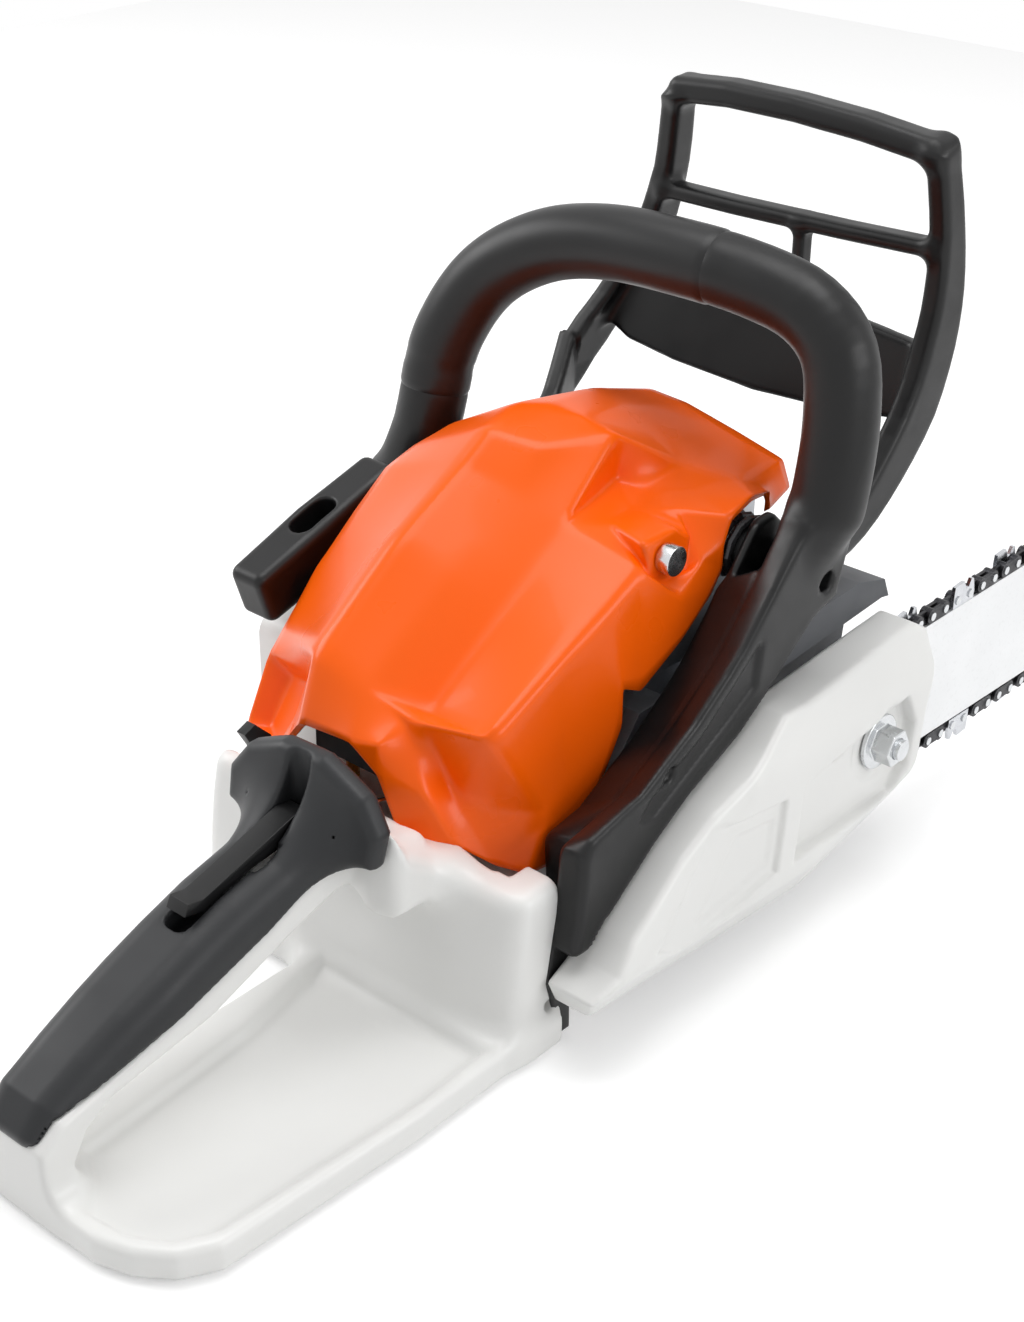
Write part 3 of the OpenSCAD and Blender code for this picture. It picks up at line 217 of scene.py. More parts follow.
def stand_in(mesh, name, node, also=()):
    """Puts the mesh in the scene as the visible piece for a node, with its finish and body."""
    piece = bpy.data.objects.new(name, mesh)
    bpy.context.scene.collection.objects.link(piece)
    mesh.materials.clear()
    mesh.materials.append(finishes[slot_of[node]])
    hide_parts(node, *also)
    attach(piece, body_of[node])
    return piece


def smooth_faces(mesh):
    mesh.polygons.foreach_set("use_smooth", np.ones(len(mesh.polygons), dtype=bool))


def rounded(node, width=1.2, angle=32, segments=3):
    """A welded copy of the node, its edges sharper than angle degrees rounded over width mm."""
    source = nodes[node]
    mesh = source.data.copy()
    shape = bmesh.new()
    shape.from_mesh(mesh)
    bmesh.ops.remove_doubles(shape, verts=shape.verts, dist=0.00002)
    bmesh.ops.dissolve_limit(shape, angle_limit=math.radians(1.5), verts=shape.verts,
                             edges=shape.edges)
    shape.to_mesh(mesh)
    shape.free()
    piece = stand_in(mesh, node + "_rounded", node)
    smooth_faces(mesh)
    bevel = piece.modifiers.new("round", "BEVEL")
    bevel.width = width * mm
    bevel.segments = segments
    bevel.limit_method = "ANGLE"
    bevel.angle_limit = math.radians(angle)
    bevel.harden_normals = True
    bevel.miter_outer = "MITER_ARC"
    return piece


# %% Rounded copies of the mouldings
soft_edges = {"brake_housing": 1.0, "starter_housing": 1.6, "throttle_trigger": 0.8,
              "throttle_interlock": 0.6, "control_lever": 0.6,
              "fuel_cap": 0.8, "oil_cap": 0.8, "chain_catcher": 0.8, "crankcase": 1.0,
              "bar_nut": 0.5, "cover_screw": 0.3, "muffler": 1.8, "air_filter": 1.5,
              "carburettor": 0.6}
for node, width in soft_edges.items():
    rounded(node, width)
print("rounded", len(soft_edges), "mouldings")

# %% [markdown]
# ## Engine cover
#
# The orange cover is one moulded shell of flat panels that meet in soft folds: a band down the
# left, a broad middle panel with a hump at its front, a valley, and a sharp shoulder above the
# right wall. Its corners could be cut out of a block with many planes, but the panels are easier
# to see as points joined into faces. Folds between steep neighbours are creased, and a
# subdivision surface rounds each fold as the mould does.

# %% Corner points of the cover, in millimetres
cover_points = {
    # rear rim, from the left foot round the notch for the grip to the right tip
    "rim0": (-96, 70, 46), "rim1": (-112, 52, 47), "rim2": (-123, 38, 60), "rim3": (-125, 30, 84),
    "rim4": (-125, 17, 101), "rim5": (-125, -7, 103), "rim6": (-123, -18, 93.5),
    "rim7": (-121, -26, 71.5), "rim8": (-118, -31, 67.8), "rim9": (-111, -42, 70.5),
    "rim10": (-101, -51, 61.4), "tip": (-93.8, -60, 58),
    # left shoulder, from the front to the rear corner
    "left0": (5, 70, 155), "left1": (-13, 70, 153), "left2": (-28, 70, 149),
    "left3": (-45, 70, 136.5), "left4": (-64, 70, 121), "left5": (-83, 70, 102),
    "left6": (-90, 70, 95), "left7": (-103, 70, 70),
    # fold between the left band and the middle panel
    "fold0": (-114.4, 19.8, 123.4), "fold1": (-73.4, 19.8, 152.4), "fold2": (-51.4, 19.8, 163.4),
    "fold3": (-40.4, 19.8, 169.4), "fold4": (-27.4, 19.8, 178.4), "fold5": (-6, 25, 180),
    # middle of the panel and the edge of the hump
    "mid0": (-111.4, -2.2, 116.4), "mid1": (-69.4, -1.2, 142.9), "mid2": (-48.4, -0.2, 154.4),
    "mid3": (-34.4, -0.2, 162.9), "mid4": (-19.4, -0.2, 174.4), "hump0": (1.5, 14, 180.5),
    "hump1": (2.8, 1, 179),
    # valley, and the little facet beside the hump
    "val0": (-99.4, -20.2, 108.4), "val1": (-65.4, -20.2, 131.4), "val2": (-47.4, -20.2, 143.4),
    "val3": (-30.4, -20.2, 154.4), "val4": (4, -15, 159), "val5": (4, -15, 176),
    # sharp right shoulder
    "edge0": (-105, -52.5, 113.7), "edge1": (-64.6, -52.5, 130.6), "edge2": (-45.6, -52.5, 138.6),
    "edge3": (-27.6, -52.5, 146.1),
    # rear facets under the shoulder
    "ear0": (-109.4, -18.2, 107.9), "ear1": (-121.4, -17.2, 104.4), "ear2": (-108.4, -26.2, 110.4),
    "ear3": (-102.5, -32, 87), "ear4": (-103.7, -40, 79), "ear5": (-83.5, -57, 77.8),
    "ear6": (-82, -58.5, 73.5), "ear7": (-115.4, -33.2, 88.4),
    # right wall and its lower edge
    "wall0": (-68, -59, 53.6), "wall1": (-44, -59, 94), "wall2": (-44, -59, 109),
    "wall3": (-34, -59, 104), "wall4": (-12, -59, 115), "wall5": (4.5, -59, 127),
    "wall6": (10.3, -59, 134.5), "wall7": (10.6, -59, 144), "wall8": (14.7, -59, 154),
    "wall9": (26, -59, 158), "wall10": (38.6, -58, 155.4), "wall11": (40, -57, 147),
    "wall12": (-70, -55, 94),
    # hollow round the cover screw: its rim and its floor
    "cup0": (-18, -30, 153.5), "cup1": (-4, -28, 153.5), "cup2": (5.3, -42, 154.5),
    "cup3": (1.3, -56.5, 141), "cup4": (-12.6, -58.5, 132.5),
    "well0": (-25, -50.2, 154), "well1": (-6, -50.8, 154), "well2": (1.5, -51, 148),
    "well3": (-3, -52.5, 137), "well4": (-21, -52, 139),
    # front right, front edge and left front
    "nose0": (8, -25, 156.5), "nose1": (17, -36, 156.5), "nose2": (26.6, -26.4, 161),
    "nose3": (33, -48, 159), "roof0": (31, 18, 177), "roof1": (31, 0, 174),
    "front0": (62, 50, 140), "front1": (62, 44, 154), "front2": (62, 16, 168),
    "front3": (62, -2, 167), "front4": (62, -26, 162), "front5": (62, -47, 157),
    "front6": (62, -51, 147), "brow0": (34, 56, 146), "brow1": (34, 50, 160),
    # left wall foot
    "foot0": (5, 68, 112), "foot1": (-13, 73, 112), "foot2": (-28, 74.5, 112),
    "foot3": (-45, 75, 112), "foot4": (-64, 75, 112), "foot5": (-80, 75, 86),
    "foot6": (-90, 74, 50), "foot7": (34, 54, 112), "foot8": (62, 48, 112),
    # hollow at the left rear corner: lower rim and floor
    "dent0": (-98, 40, 100), "dent1": (-116, 29, 95), "dent2": (-114, 46, 70),
    "dent3": (-88, 60, 88), "dent4": (-93, 42, 92), "dent5": (-107, 34, 88),
    "dent6": (-107, 48, 70), "dent7": (-98, 62, 70)}

cover_faces = """
left0 left1 fold4 fold5 / left1 left2 fold3 fold4 / left2 left3 fold2 fold3
left3 left4 fold1 fold2 / left4 left5 fold0 fold1 / left5 left6 dent0 fold0
fold0 dent0 dent1 rim4 / rim4 dent1 rim2 rim3 / dent1 dent2 rim1 rim2 / dent2 left7 rim0 rim1
left6 dent3 dent4 dent0 / dent0 dent4 dent5 dent1 / dent1 dent5 dent6 dent2
dent2 dent6 dent7 left7 / left7 dent7 dent3 left6 / dent3 dent7 dent6 dent5 dent4
fold0 rim4 rim5 mid0 / mid0 rim5 ear1 ear0 / mid0 ear0 ear2 val0
fold1 fold0 mid0 mid1 / mid1 mid0 val0 val1 / fold2 fold1 mid1 mid2 / mid2 mid1 val1 val2
fold3 fold2 mid2 mid3 / mid3 mid2 val2 val3 / fold4 fold3 mid3 mid4 / mid4 mid3 val3 val5
fold5 fold4 mid4 hump0 / hump0 mid4 val5 hump1 / val5 val3 val4
val0 ear2 edge0 / val1 val0 edge0 edge1 / val2 val1 edge1 edge2 / val3 val2 edge2 edge3
val3 edge3 cup0 / val3 cup0 cup1 val4 / val4 cup1 nose0 / nose0 cup1 cup2 nose1
edge3 well4 well0 cup0 / cup0 well0 well1 cup1 / cup1 well1 well2 cup2
cup2 well2 well3 cup3 / cup3 well3 well4 cup4 / cup4 well4 edge3 / well0 well4 well3 well2 well1
nose1 cup2 wall8 / cup2 cup3 wall7 wall8 / cup3 wall6 wall7 / cup3 cup4 wall5 wall6
cup4 wall4 wall5 / edge3 wall3 wall4 cup4 / edge2 wall2 wall3 edge3
edge1 wall12 wall1 wall2 edge2 / edge0 ear5 wall12 edge1 / wall12 wall0 wall1
ear5 ear6 wall0 wall12 / ear6 tip wall0
ear2 ear3 edge0 / ear3 ear4 ear5 edge0 / ear4 rim10 ear6 ear5 / ear6 rim10 tip / ear4 rim9 rim10
ear0 ear7 ear3 ear2 / ear7 rim9 ear4 ear3 / ear1 rim6 ear7 ear0 / rim6 rim7 rim8 ear7
rim8 rim9 ear7 / rim5 rim6 ear1
val5 val4 nose0 nose2 / hump1 val5 nose2 roof1 / hump0 hump1 roof1 roof0
fold5 hump0 roof0 / left0 fold5 roof0 brow1 / nose2 nose0 nose1 nose3 / nose1 wall8 wall9 nose3
wall9 wall10 nose3 / roof1 nose2 front4 front3 / nose2 nose3 front5 front4
roof0 roof1 front3 front2 / brow1 roof0 front2 front1 / brow0 brow1 front1 front0
left0 brow1 brow0 / nose3 wall10 wall11 front6 front5
foot0 left0 brow0 foot7 / foot7 brow0 front0 foot8 / foot1 left1 left0 foot0
foot2 left2 left1 foot1 / foot3 left3 left2 foot2 / foot4 left4 left3 foot3
foot5 left5 left4 foot4 / foot6 left7 left6 left5 foot5 / rim0 left7 foot6
"""


# %% Panels into a shell with soft folds
def panelled(name, node, points, faces, sharp=4.0, crease=0.9, wall=2.2, levels=3):
    """A surface of flat panels: points named in millimetres, faces as names. Edges whose two
    panels differ by more than sharp degrees are creased, the rest blend smoothly."""
    names = list(points)
    rows = [part.split() for line in faces.strip().splitlines() for part in line.split("/")]
    mesh = bpy.data.meshes.new(name)
    mesh.from_pydata([tuple(np.array(points[n]) * mm) for n in names], [],
                     [[names.index(n) for n in row] for row in rows])
    shape = bmesh.new()
    shape.from_mesh(mesh)
    bmesh.ops.recalc_face_normals(shape, faces=shape.faces)
    highest = max(shape.faces, key=lambda face: face.calc_center_median().z)
    if highest.normal.z < 0:
        bmesh.ops.reverse_faces(shape, faces=shape.faces)
    folds = shape.edges.layers.float.new("crease_edge")
    for edge in shape.edges:
        fold = math.degrees(edge.calc_face_angle(0.0))
        if edge.is_boundary or fold > sharp:
            edge[folds] = crease + (1.0 - crease) * min(fold / 40.0, 0.8)
    shape.to_mesh(mesh)
    loose = sum(1 for vert in shape.verts if not vert.link_faces)
    shape.free()
    piece = stand_in(mesh, name, node)
    smooth_faces(mesh)
    skin = piece.modifiers.new("wall", "SOLIDIFY")
    skin.thickness = wall * mm
    skin.offset = -1.0
    skin.edge_crease_outer = skin.edge_crease_inner = skin.edge_crease_rim = 0.85
    rounder = piece.modifiers.new("folds", "SUBSURF")
    rounder.levels = rounder.render_levels = levels
    print(name, len(rows), "panels,", loose, "loose points")
    return piece


panelled("engine_cover", "top_cover", cover_points, cover_faces)

# %% [markdown]
# ## Moulded bodies as distance fields
#
# The handle, the rear housing and the grip have no flat sheet to start from: arms, webs and hollows
# run into each other with soft fillets. For such a body it is easiest to write down, for any point
# in space, how far it lies from the surface: negative inside, positive outside. Simple fields for
# bars and plates are blended where they join, so that every joint gets its fillet, and the skin
# is laid where the field is zero.

# %% Fields of simple bodies, all in millimetres
def curve(points, parts=5):
    """Catmull-Rom curve through the points: each stretch is the cubic that leaves a point along
    the line joining its two neighbours."""
    p = np.array(points, float)
    ends = np.vstack([2 * p[0] - p[1], p, 2 * p[-1] - p[-2]])
    a, b, c, d = ends[:-3, None], ends[1:-2, None], ends[2:-1, None], ends[3:, None]
    t = np.linspace(0.0, 1.0, parts, endpoint=False)[None, :, None]
    line = 0.5 * (2 * b + (c - a) * t + (2 * a - 5 * b + 4 * c - d) * t ** 2
                  + (3 * b - a - 3 * c + d) * t ** 3)
    return np.vstack([line.reshape(-1, p.shape[1]), p[-1:]])


def outline_distance(u, v, outline):
    """Distance in the plane to a closed outline, negative inside: the least distance to its edges,
    with the sign from how many edges lie to one side of the point."""
    corners = np.array(outline, float)
    best = np.full(u.shape, 1e12)
    inside = np.zeros(u.shape, dtype=bool)
    for (ax, ay), (bx, by) in zip(corners, np.roll(corners, -1, axis=0)):
        ex, ey = bx - ax, by - ay
        t = np.clip(((u - ax) * ex + (v - ay) * ey) / (ex * ex + ey * ey), 0.0, 1.0)
        best = np.minimum(best, (u - ax - t * ex) ** 2 + (v - ay - t * ey) ** 2)
        if ey != 0.0:
            inside ^= ((ay > v) != (by > v)) & (u < ax + (v - ay) * ex / ey)
    return np.where(inside, -1.0, 1.0) * np.sqrt(best)


def plate(p, outline, low, high, soft=2.0, along="y"):
    """A plate with the outline, from low to high along one axis, its edges rounded by soft."""
    k = "xyz".index(along)
    flat = [i for i in range(3) if i != k]
    d = outline_distance(p[:, flat[0]], p[:, flat[1]], outline) + soft
    h = np.maximum(low - p[:, k], p[:, k] - high) + soft
    return np.hypot(np.maximum(d, 0), np.maximum(h, 0)) + np.minimum(np.maximum(d, h), 0) - soft


def brick(p, low, high, soft=1.0):
    """A box between two corners with rounded edges."""
    low, high = np.array(low, float), np.array(high, float)
    q = np.abs(p - (low + high) / 2) - (high - low) / 2 + soft
    return np.linalg.norm(np.maximum(q, 0), axis=1) + np.minimum(q.max(axis=1), 0) - soft


def bar(p, line, radius):
    """A round bar along a line of points: distance to the nearest stretch, less the radius
    there."""
    line = np.array(line, float)
    radius = np.broadcast_to(radius, len(line)).astype(float)
    best = np.full(len(p), 1e9)
    for a, b, ra, rb in zip(line[:-1], line[1:], radius[:-1], radius[1:]):
        step = b - a
        t = np.clip((p - a) @ step / (step @ step), 0.0, 1.0)
        best = np.minimum(best, np.linalg.norm(p - a - t[:, None] * step, axis=1)
                          - ra - t * (rb - ra))
    return best


def rod_y(p, x, z, low, high, radius):
    """A round rod across the saw."""
    return np.maximum(np.hypot(p[:, 0] - x, p[:, 2] - z) - radius,
                      np.maximum(low - p[:, 1], p[:, 1] - high))


def join(a, b, fillet=3.0):
    """Both bodies, with a fillet where they meet."""
    h = np.maximum(fillet - np.abs(a - b), 0.0) / fillet
    return np.minimum(a, b) - h * h * fillet / 4


def cut(a, b, fillet=1.0):
    """The first body less the second, the new edge rounded."""
    return -join(-a, b, fillet)


# %% The skin of a field
def skin_points(field, low, high, step):
    """Surface nets: space is cut into cells of the step, each cell that the surface crosses gets
    one point at the mean of the crossings on its edges, and each crossed grid edge joins the
    points of the four cells round it. The points are then pulled onto the surface along the
    slope of the field. A coarse pass leaves out the cells far from the surface."""
    coarse = 5
    counts = [int(math.ceil((h - l) / (step * coarse))) for l, h in zip(low, high)]
    low = np.array(low, float)
    centres = np.stack(np.meshgrid(*[(np.arange(n) + 0.5) * step * coarse for n in counts],
                                   indexing="ij"), -1).reshape(-1, 3) + low
    far = field(centres).reshape(counts)
    near = np.abs(far) < step * coarse * 1.25
    shape = [n * coarse for n in counts]
    values = np.repeat(np.repeat(np.repeat(far, coarse, 0), coarse, 1), coarse, 2)
    fine = np.repeat(np.repeat(np.repeat(near, coarse, 0), coarse, 1), coarse, 2)
    spots = np.argwhere(fine)
    values[fine] = field(spots * step + low)
    inside = values < 0.0
    window = [inside[i:shape[0] - 1 + i, j:shape[1] - 1 + j, k:shape[2] - 1 + k]
              for i in (0, 1) for j in (0, 1) for k in (0, 1)]
    total = np.sum([w.astype(np.int8) for w in window], axis=0)
    cells = np.argwhere((total > 0) & (total < 8))
    number = np.full(total.shape, -1)
    number[tuple(cells.T)] = np.arange(len(cells))
    summed, crossings = np.zeros((len(cells), 3)), np.zeros(len(cells))
    for axis in range(3):
        others = [i for i in range(3) if i != axis]
        for m in (0, 1):
            for n in (0, 1):
                start = cells.copy()
                start[:, others[0]] += m
                start[:, others[1]] += n
                end = start.copy()
                end[:, axis] += 1
                a, b = values[tuple(start.T)], values[tuple(end.T)]
                crossed = (a < 0) != (b < 0)
                t = np.where(crossed, a / np.where(crossed, a - b, 1.0), 0.0)
                spot = start.astype(float)
                spot[:, axis] += t
                summed += spot * crossed[:, None]
                crossings += crossed
    points = summed / crossings[:, None] * step + low
    faces = []
    for axis in range(3):
        one, two = [(1, 2), (2, 0), (0, 1)][axis]
        ahead = np.roll(inside, -1, axis=axis)
        edges = np.argwhere(inside != ahead)
        edges = edges[(edges[:, axis] < shape[axis] - 1) & (edges[:, one] > 0)
                      & (edges[:, two] > 0) & (edges[:, one] < shape[one] - 1)
                      & (edges[:, two] < shape[two] - 1)]
        ring = []
        for m, n in ((1, 1), (0, 1), (0, 0), (1, 0)):
            cell = edges.copy()
            cell[:, one] -= m
            cell[:, two] -= n
            ring.append(number[tuple(cell.T)])
        quads = np.stack(ring, 1)
        turned = ~inside[tuple(edges.T)]
        quads[turned] = quads[turned][:, ::-1]
        faces.append(quads)
    faces = np.vstack(faces)
    nudge = step * 0.2
    for _ in range(3):
        slope = np.stack([field(points + d) - field(points - d) for d in np.eye(3) * nudge], 1)
        slope /= 2 * nudge
        size = np.maximum((slope ** 2).sum(1), 0.2)
        move = -(field(points) / size)[:, None] * slope
        points += np.clip(move, -step * 0.5, step * 0.5)
    return points, faces[(faces >= 0).all(axis=1)]


def moulded(name, node, field, low, high, step=1.3):
    """The skin of a field as the visible piece of a node."""
    points, faces = skin_points(field, low, high, step)
    mesh = bpy.data.meshes.new(name)
    mesh.from_pydata(points * mm, [], faces)
    smooth_faces(mesh)
    print(name, len(faces), "faces")
    return stand_in(mesh, name, node)


# %% [markdown]
# ## Front handle
#
# One bent tube runs from under the starter housing, over the engine and down into a flat leg on
# the right, all moulded in one. The tube is a round bar along a smooth curve; the leg is a plate
# with the leg's outline, blended into the tube with a wide fillet.

# %% Front handle
guard_pivot = (32, 132)
spring_screw = (-54, 90.6)
tube_line = curve([(12, 115, 8), (12, 115, 50), (13, 115, 92), (14, 109, 112), (15, 98, 127),
                   (18, 92.5, 143), (20, 91, 153), (26, 88, 180), (34, 75, 205), (40, 52, 221),
                   (44, 24, 228), (46, -11, 229), (48, -40, 227), (48.5, -62, 222),
                   (46.5, -77, 210), (42, -83, 188), (36, -85, 166), (33, -84, 154),
                   (29, -79, 142)], 4)
sleeve_start, sleeve_end = 25, 46
tube_radius = np.full(len(tube_line), 13.4)
tube_radius[sleeve_start + 1:sleeve_end] = 11.6
tube_radius[-7:] = np.linspace(13.4, 7.5, 7)
leg_outline = [(18, 158), (48, 160), (46, 140), (41, 123), (31, 120), (26, 118), (7, 104),
               (-1, 98), (-15, 89), (-43, 77), (-60, 67), (-86, 48), (-94, 34), (-93, 3),
               (-99, 3), (-106, 28), (-101, 55), (-99, 80), (-95, 85), (-68, 93), (-41, 106),
               (-24, 118), (-12, 129), (0, 141)]
leg_web = [(8, 149), (8, 105), (-1, 98), (-15, 89), (-43, 77), (-60, 67), (-86, 48), (-88, 74),
           (-68, 93), (-41, 106), (-24, 118), (-12, 129), (0, 141)]


def front_handle(p):
    """Tube, leg plate with its web behind, spring cheek, left foot and lug, less the bores."""
    leg = join(plate(p, leg_outline, -89, -76.5, 3.0), plate(p, leg_web, -78, -60, 3.0), 2.0)
    cheek = plate(p, [(4, 149), (30, 152), (43, 140), (43, 122), (28, 118), (4, 105)],
                  -66.5, -62, 1.2)
    crest = np.interp(p[:, 0], [-100, -69, -41, -24, -15, 0, 20, 40],
                      [86, 91, 106, 118, 125, 141, 166, 190])
    fall = (p[:, 2] - crest + (p[:, 1] + 88) * 0.62) * 0.72
    leg = -join(-join(leg, cheek, 2.0), -fall, 3.0)
    body = join(bar(p, tube_line, tube_radius), leg, 9.0)
    body = join(body, brick(p, (-2, 51, 1.5), (26, 119, 10), 2.5), 4.0)
    body = -join(-body, p[:, 2] - 0.4, 1.5)
    body = join(body, plate(p, [(14, 122), (36, 122), (42, 132), (38, 141), (14, 146)], 76, 80,
                            1.2), 3.0)
    gutter = plate(p, [(-6, 122), (-8, 106), (-20, 99), (-44, 87), (-62, 78), (-70, 80),
                       (-64, 86), (-38, 98), (-20, 111)], -94, -87.4, 1.0)
    body = cut(body, gutter, 2.5)
    corner = plate(p, [(-120, -1), (-120, 42), (-95, 42), (-86, 50), (-78, 44), (-78, -1)],
                   -95, -79.3, 0.5)
    body = cut(body, corner, 1.0)
    for place, low, high, radius in ((guard_pivot, -95, -59, 4.1), (guard_pivot, -95, -87, 3.6),
                                     (guard_pivot, 70, 95, 4.1), (spring_screw, -95, -85, 3.6)):
        body = cut(body, rod_y(p, *place, low, high, radius), 0.8)
    return body


moulded("front_handle", "handle_frame", front_handle, (-112, -103, -2), (66, 133, 246), 1.4)


# %% [markdown]
# ## Handle sleeve
#
# The left part of the tube wears a soft sleeve, a little thicker than the bare tube, so a seam
# shows where it ends. It is a pure sweep: circles carried along the curve, closed by short
# rolled-in ends.

# %% A sweep along a curve
def sweep(name, node, line, radius, around=64, aside=(1.0, 0.0, 0.0)):
    """Circles round a line of points, each square to the line, with a frame set by the line's
    direction and the fixed aside direction; the ends close on their centres."""
    line = np.array(line, float)
    way = np.gradient(line, axis=0)
    way /= np.linalg.norm(way, axis=1)[:, None]
    side_way = np.cross(way, aside)
    side_way /= np.linalg.norm(side_way, axis=1)[:, None]
    over = np.cross(way, side_way)
    turn_by = np.linspace(0.0, 2 * math.pi, around, endpoint=False)
    ring = (np.cos(turn_by)[None, :, None] * side_way[:, None]
            + np.sin(turn_by)[None, :, None] * over[:, None])
    grid = line[:, None] + ring * np.broadcast_to(radius, len(line))[:, None, None]
    rows, count = len(line), len(line) * around
    i, j = np.meshgrid(np.arange(rows - 1), np.arange(around), indexing="ij")
    k = (j + 1) % around
    quads = np.stack([i * around + j, i * around + k, (i + 1) * around + k,
                      (i + 1) * around + j], -1).reshape(-1, 4)
    j = np.arange(around)
    k = (j + 1) % around
    caps = np.vstack([np.stack([k, j, np.full(around, count)], 1),
                      np.stack([j + count - around, k + count - around,
                                np.full(around, count + 1)], 1)])
    mesh = bpy.data.meshes.new(name)
    mesh.from_pydata(np.vstack([grid.reshape(-1, 3), line[:1], line[-1:]]) * mm, [],
                     quads.tolist() + caps.tolist())
    smooth_faces(mesh)
    print(name, len(quads), "faces")
    return stand_in(mesh, name, node)


# %% Handle sleeve
sleeve_line = curve(tube_line[sleeve_start:sleeve_end + 1], 4)
steps = len(sleeve_line)
sleeve_radius = np.full(steps, 13.75)
sleeve_radius[:3] = sleeve_radius[-3:][::-1] = (12.2, 13.2, 13.75)
sleeve_radius[6:9] -= 0.25
sweep("soft_sleeve", "handle_sleeve", sleeve_line, sleeve_radius)

# %% Throttle rod
rod_line = curve([(-139.5, -8, 77), (-134, -11, 81), (-126, -14, 82), (-110, -19, 82),
                  (-84, -22, 90), (-66, -23, 99), (-61, -21.7, 100)], 6)
sweep("bent_rod", "throttle_rod", rod_line, 0.8, 16, (0.0, 1.0, 0.0))


# %% [markdown]
# ## Rear housing
#
# The white rear housing is the largest moulding: a foot plate to stand on, a beam under the soft
# grip that curls down into it, and the fuel tank in front with its sloping rear wall. The tank is
# the space between eight planes; foot and beam are plates; wide fillets make one body of them, and
# a shallow dish is pressed into the foot.

# %% Rear housing
foot_outline = [(-98, -79), (-169, -80), (-250, -76), (-262, -69), (-270, -58), (-274.5, -44),
                (-275, -17), (-274, 2), (-268, 8), (-252, 10), (-140, 11), (-98, 30)]
dish_outline = [(-132, -72), (-165, -73.5), (-246, -69), (-258, -62), (-265, -50), (-267, -34),
                (-258, -24), (-250, -12), (-176, -6), (-140, 2), (-130, 4)]
beam_outline = [(-275, 3), (-275, 30), (-266, 38), (-216, 51), (-180, 63), (-148, 77),
                (-122, 77), (-116, 56), (-132, 60), (-146, 63.5), (-167, 57), (-204, 43),
                (-229, 39), (-246, 36), (-256, 30), (-262, 20), (-263, 10), (-262, 3)]

cover_seat = [((-99, -95, -10), (-50, -55, 90), 0.5), ((-108, -64, 54), (-50, 62, 99), 1.0),
              ((-109, -58, 62), (-50, 62, 99), 1.0), ((-114, 55, 47), (-50, 90, 99), 1.0)]
wing_outline = [(-141.5, 58), (-141.5, 90), (-136, 80), (-124, 71), (-113, 67.5), (-112, 58)]
ground, rear_end = 0.4, -274.6


def rear_shell(p):
    """Foot, beam and tank, joined, less the dish, the seat of the cover and the bores."""
    x, y, z = p.T
    foot = plate(p, foot_outline, 0.2, 12.5, 3.5, "z")
    foot = cut(foot, plate(p, dish_outline, 8.5, 40, 3.0, "z"), 5.0)
    beam = plate(p, beam_outline, -24.3, 8.3, 3.0)
    planes = [(-(x + 135) + 0.24 * z) / 1.028, -(y + 78.5), y - 71, z - 66.5, x + 71, 0.3 - z,
              (-(x + 119) - 0.42 * (y + 79)) / 1.085, (-(x + 128) + 0.5 * (y - 66)) / 1.118]
    tank = planes[0]
    for one in planes[1:]:
        tank = -join(-tank, -one, 7.0)
    body = join(join(foot, tank, 9.0), beam, 11.0)
    body = join(body, brick(p, (-139, -36.5, 60), (-122, 22, 77.5), 2.0), 4.0)
    body = join(body, plate(p, wing_outline, -46, -30, 5.0), 15.0)
    body = -join(-body, z - ground, 1.5)
    body = -join(-body, x - rear_end, 1.5)
    body = join(body, brick(p, (-136, 20, 60), (-126, 24.6, 89), 1.2), 2.0)
    for low, high, soft in cover_seat:
        body = cut(body, brick(p, low, high, soft), 1.0)
    body = cut(body, rod_y(p, -92, 30, 56, 90, 12.2), 0.8)
    body = cut(body, rod_y(p, -104, 18, -90, -74, 2.2), 0.6)
    return cut(body, brick(p, (-176, -15, 40), (-128, -1, 90), 1.0), 1.0)


moulded("rear_shell", "rear_housing", rear_shell, (-280, -86, -3), (-62, 80, 96), 1.35)

# %% [markdown]
# ## Soft grip
#
# The dark grip sits on the beam and swells forward into a collar that keeps the hand off the
# engine. Its outline is the side view of beam and grip together, rounded strongly, cut off at the
# line where the white beam begins; the collar is a plate across the saw, joined with a very wide
# fillet. The slot for the lock lever is cut last.

# %% Soft grip
grip_side = [(-275, 20), (-275, 34), (-268, 43), (-252, 51.5), (-236, 59), (-208, 70.5),
             (-190, 77), (-170, 82), (-156, 88), (-140, 94), (-138, 60), (-167, 50), (-204, 40),
             (-246, 30), (-262, 20)]
grip_line = [(-290, 22), (-274, 30.6), (-266, 38.4), (-216, 51.4), (-180, 63.4), (-148, 77.4),
             (-130, 77.4), (-130, 140), (-290, 140)]
collar = [(-42, 79.5), (-44, 92), (-36, 103), (-17, 110.5), (2, 109.5), (18, 102.5), (26, 92),
          (26, 79.5)]


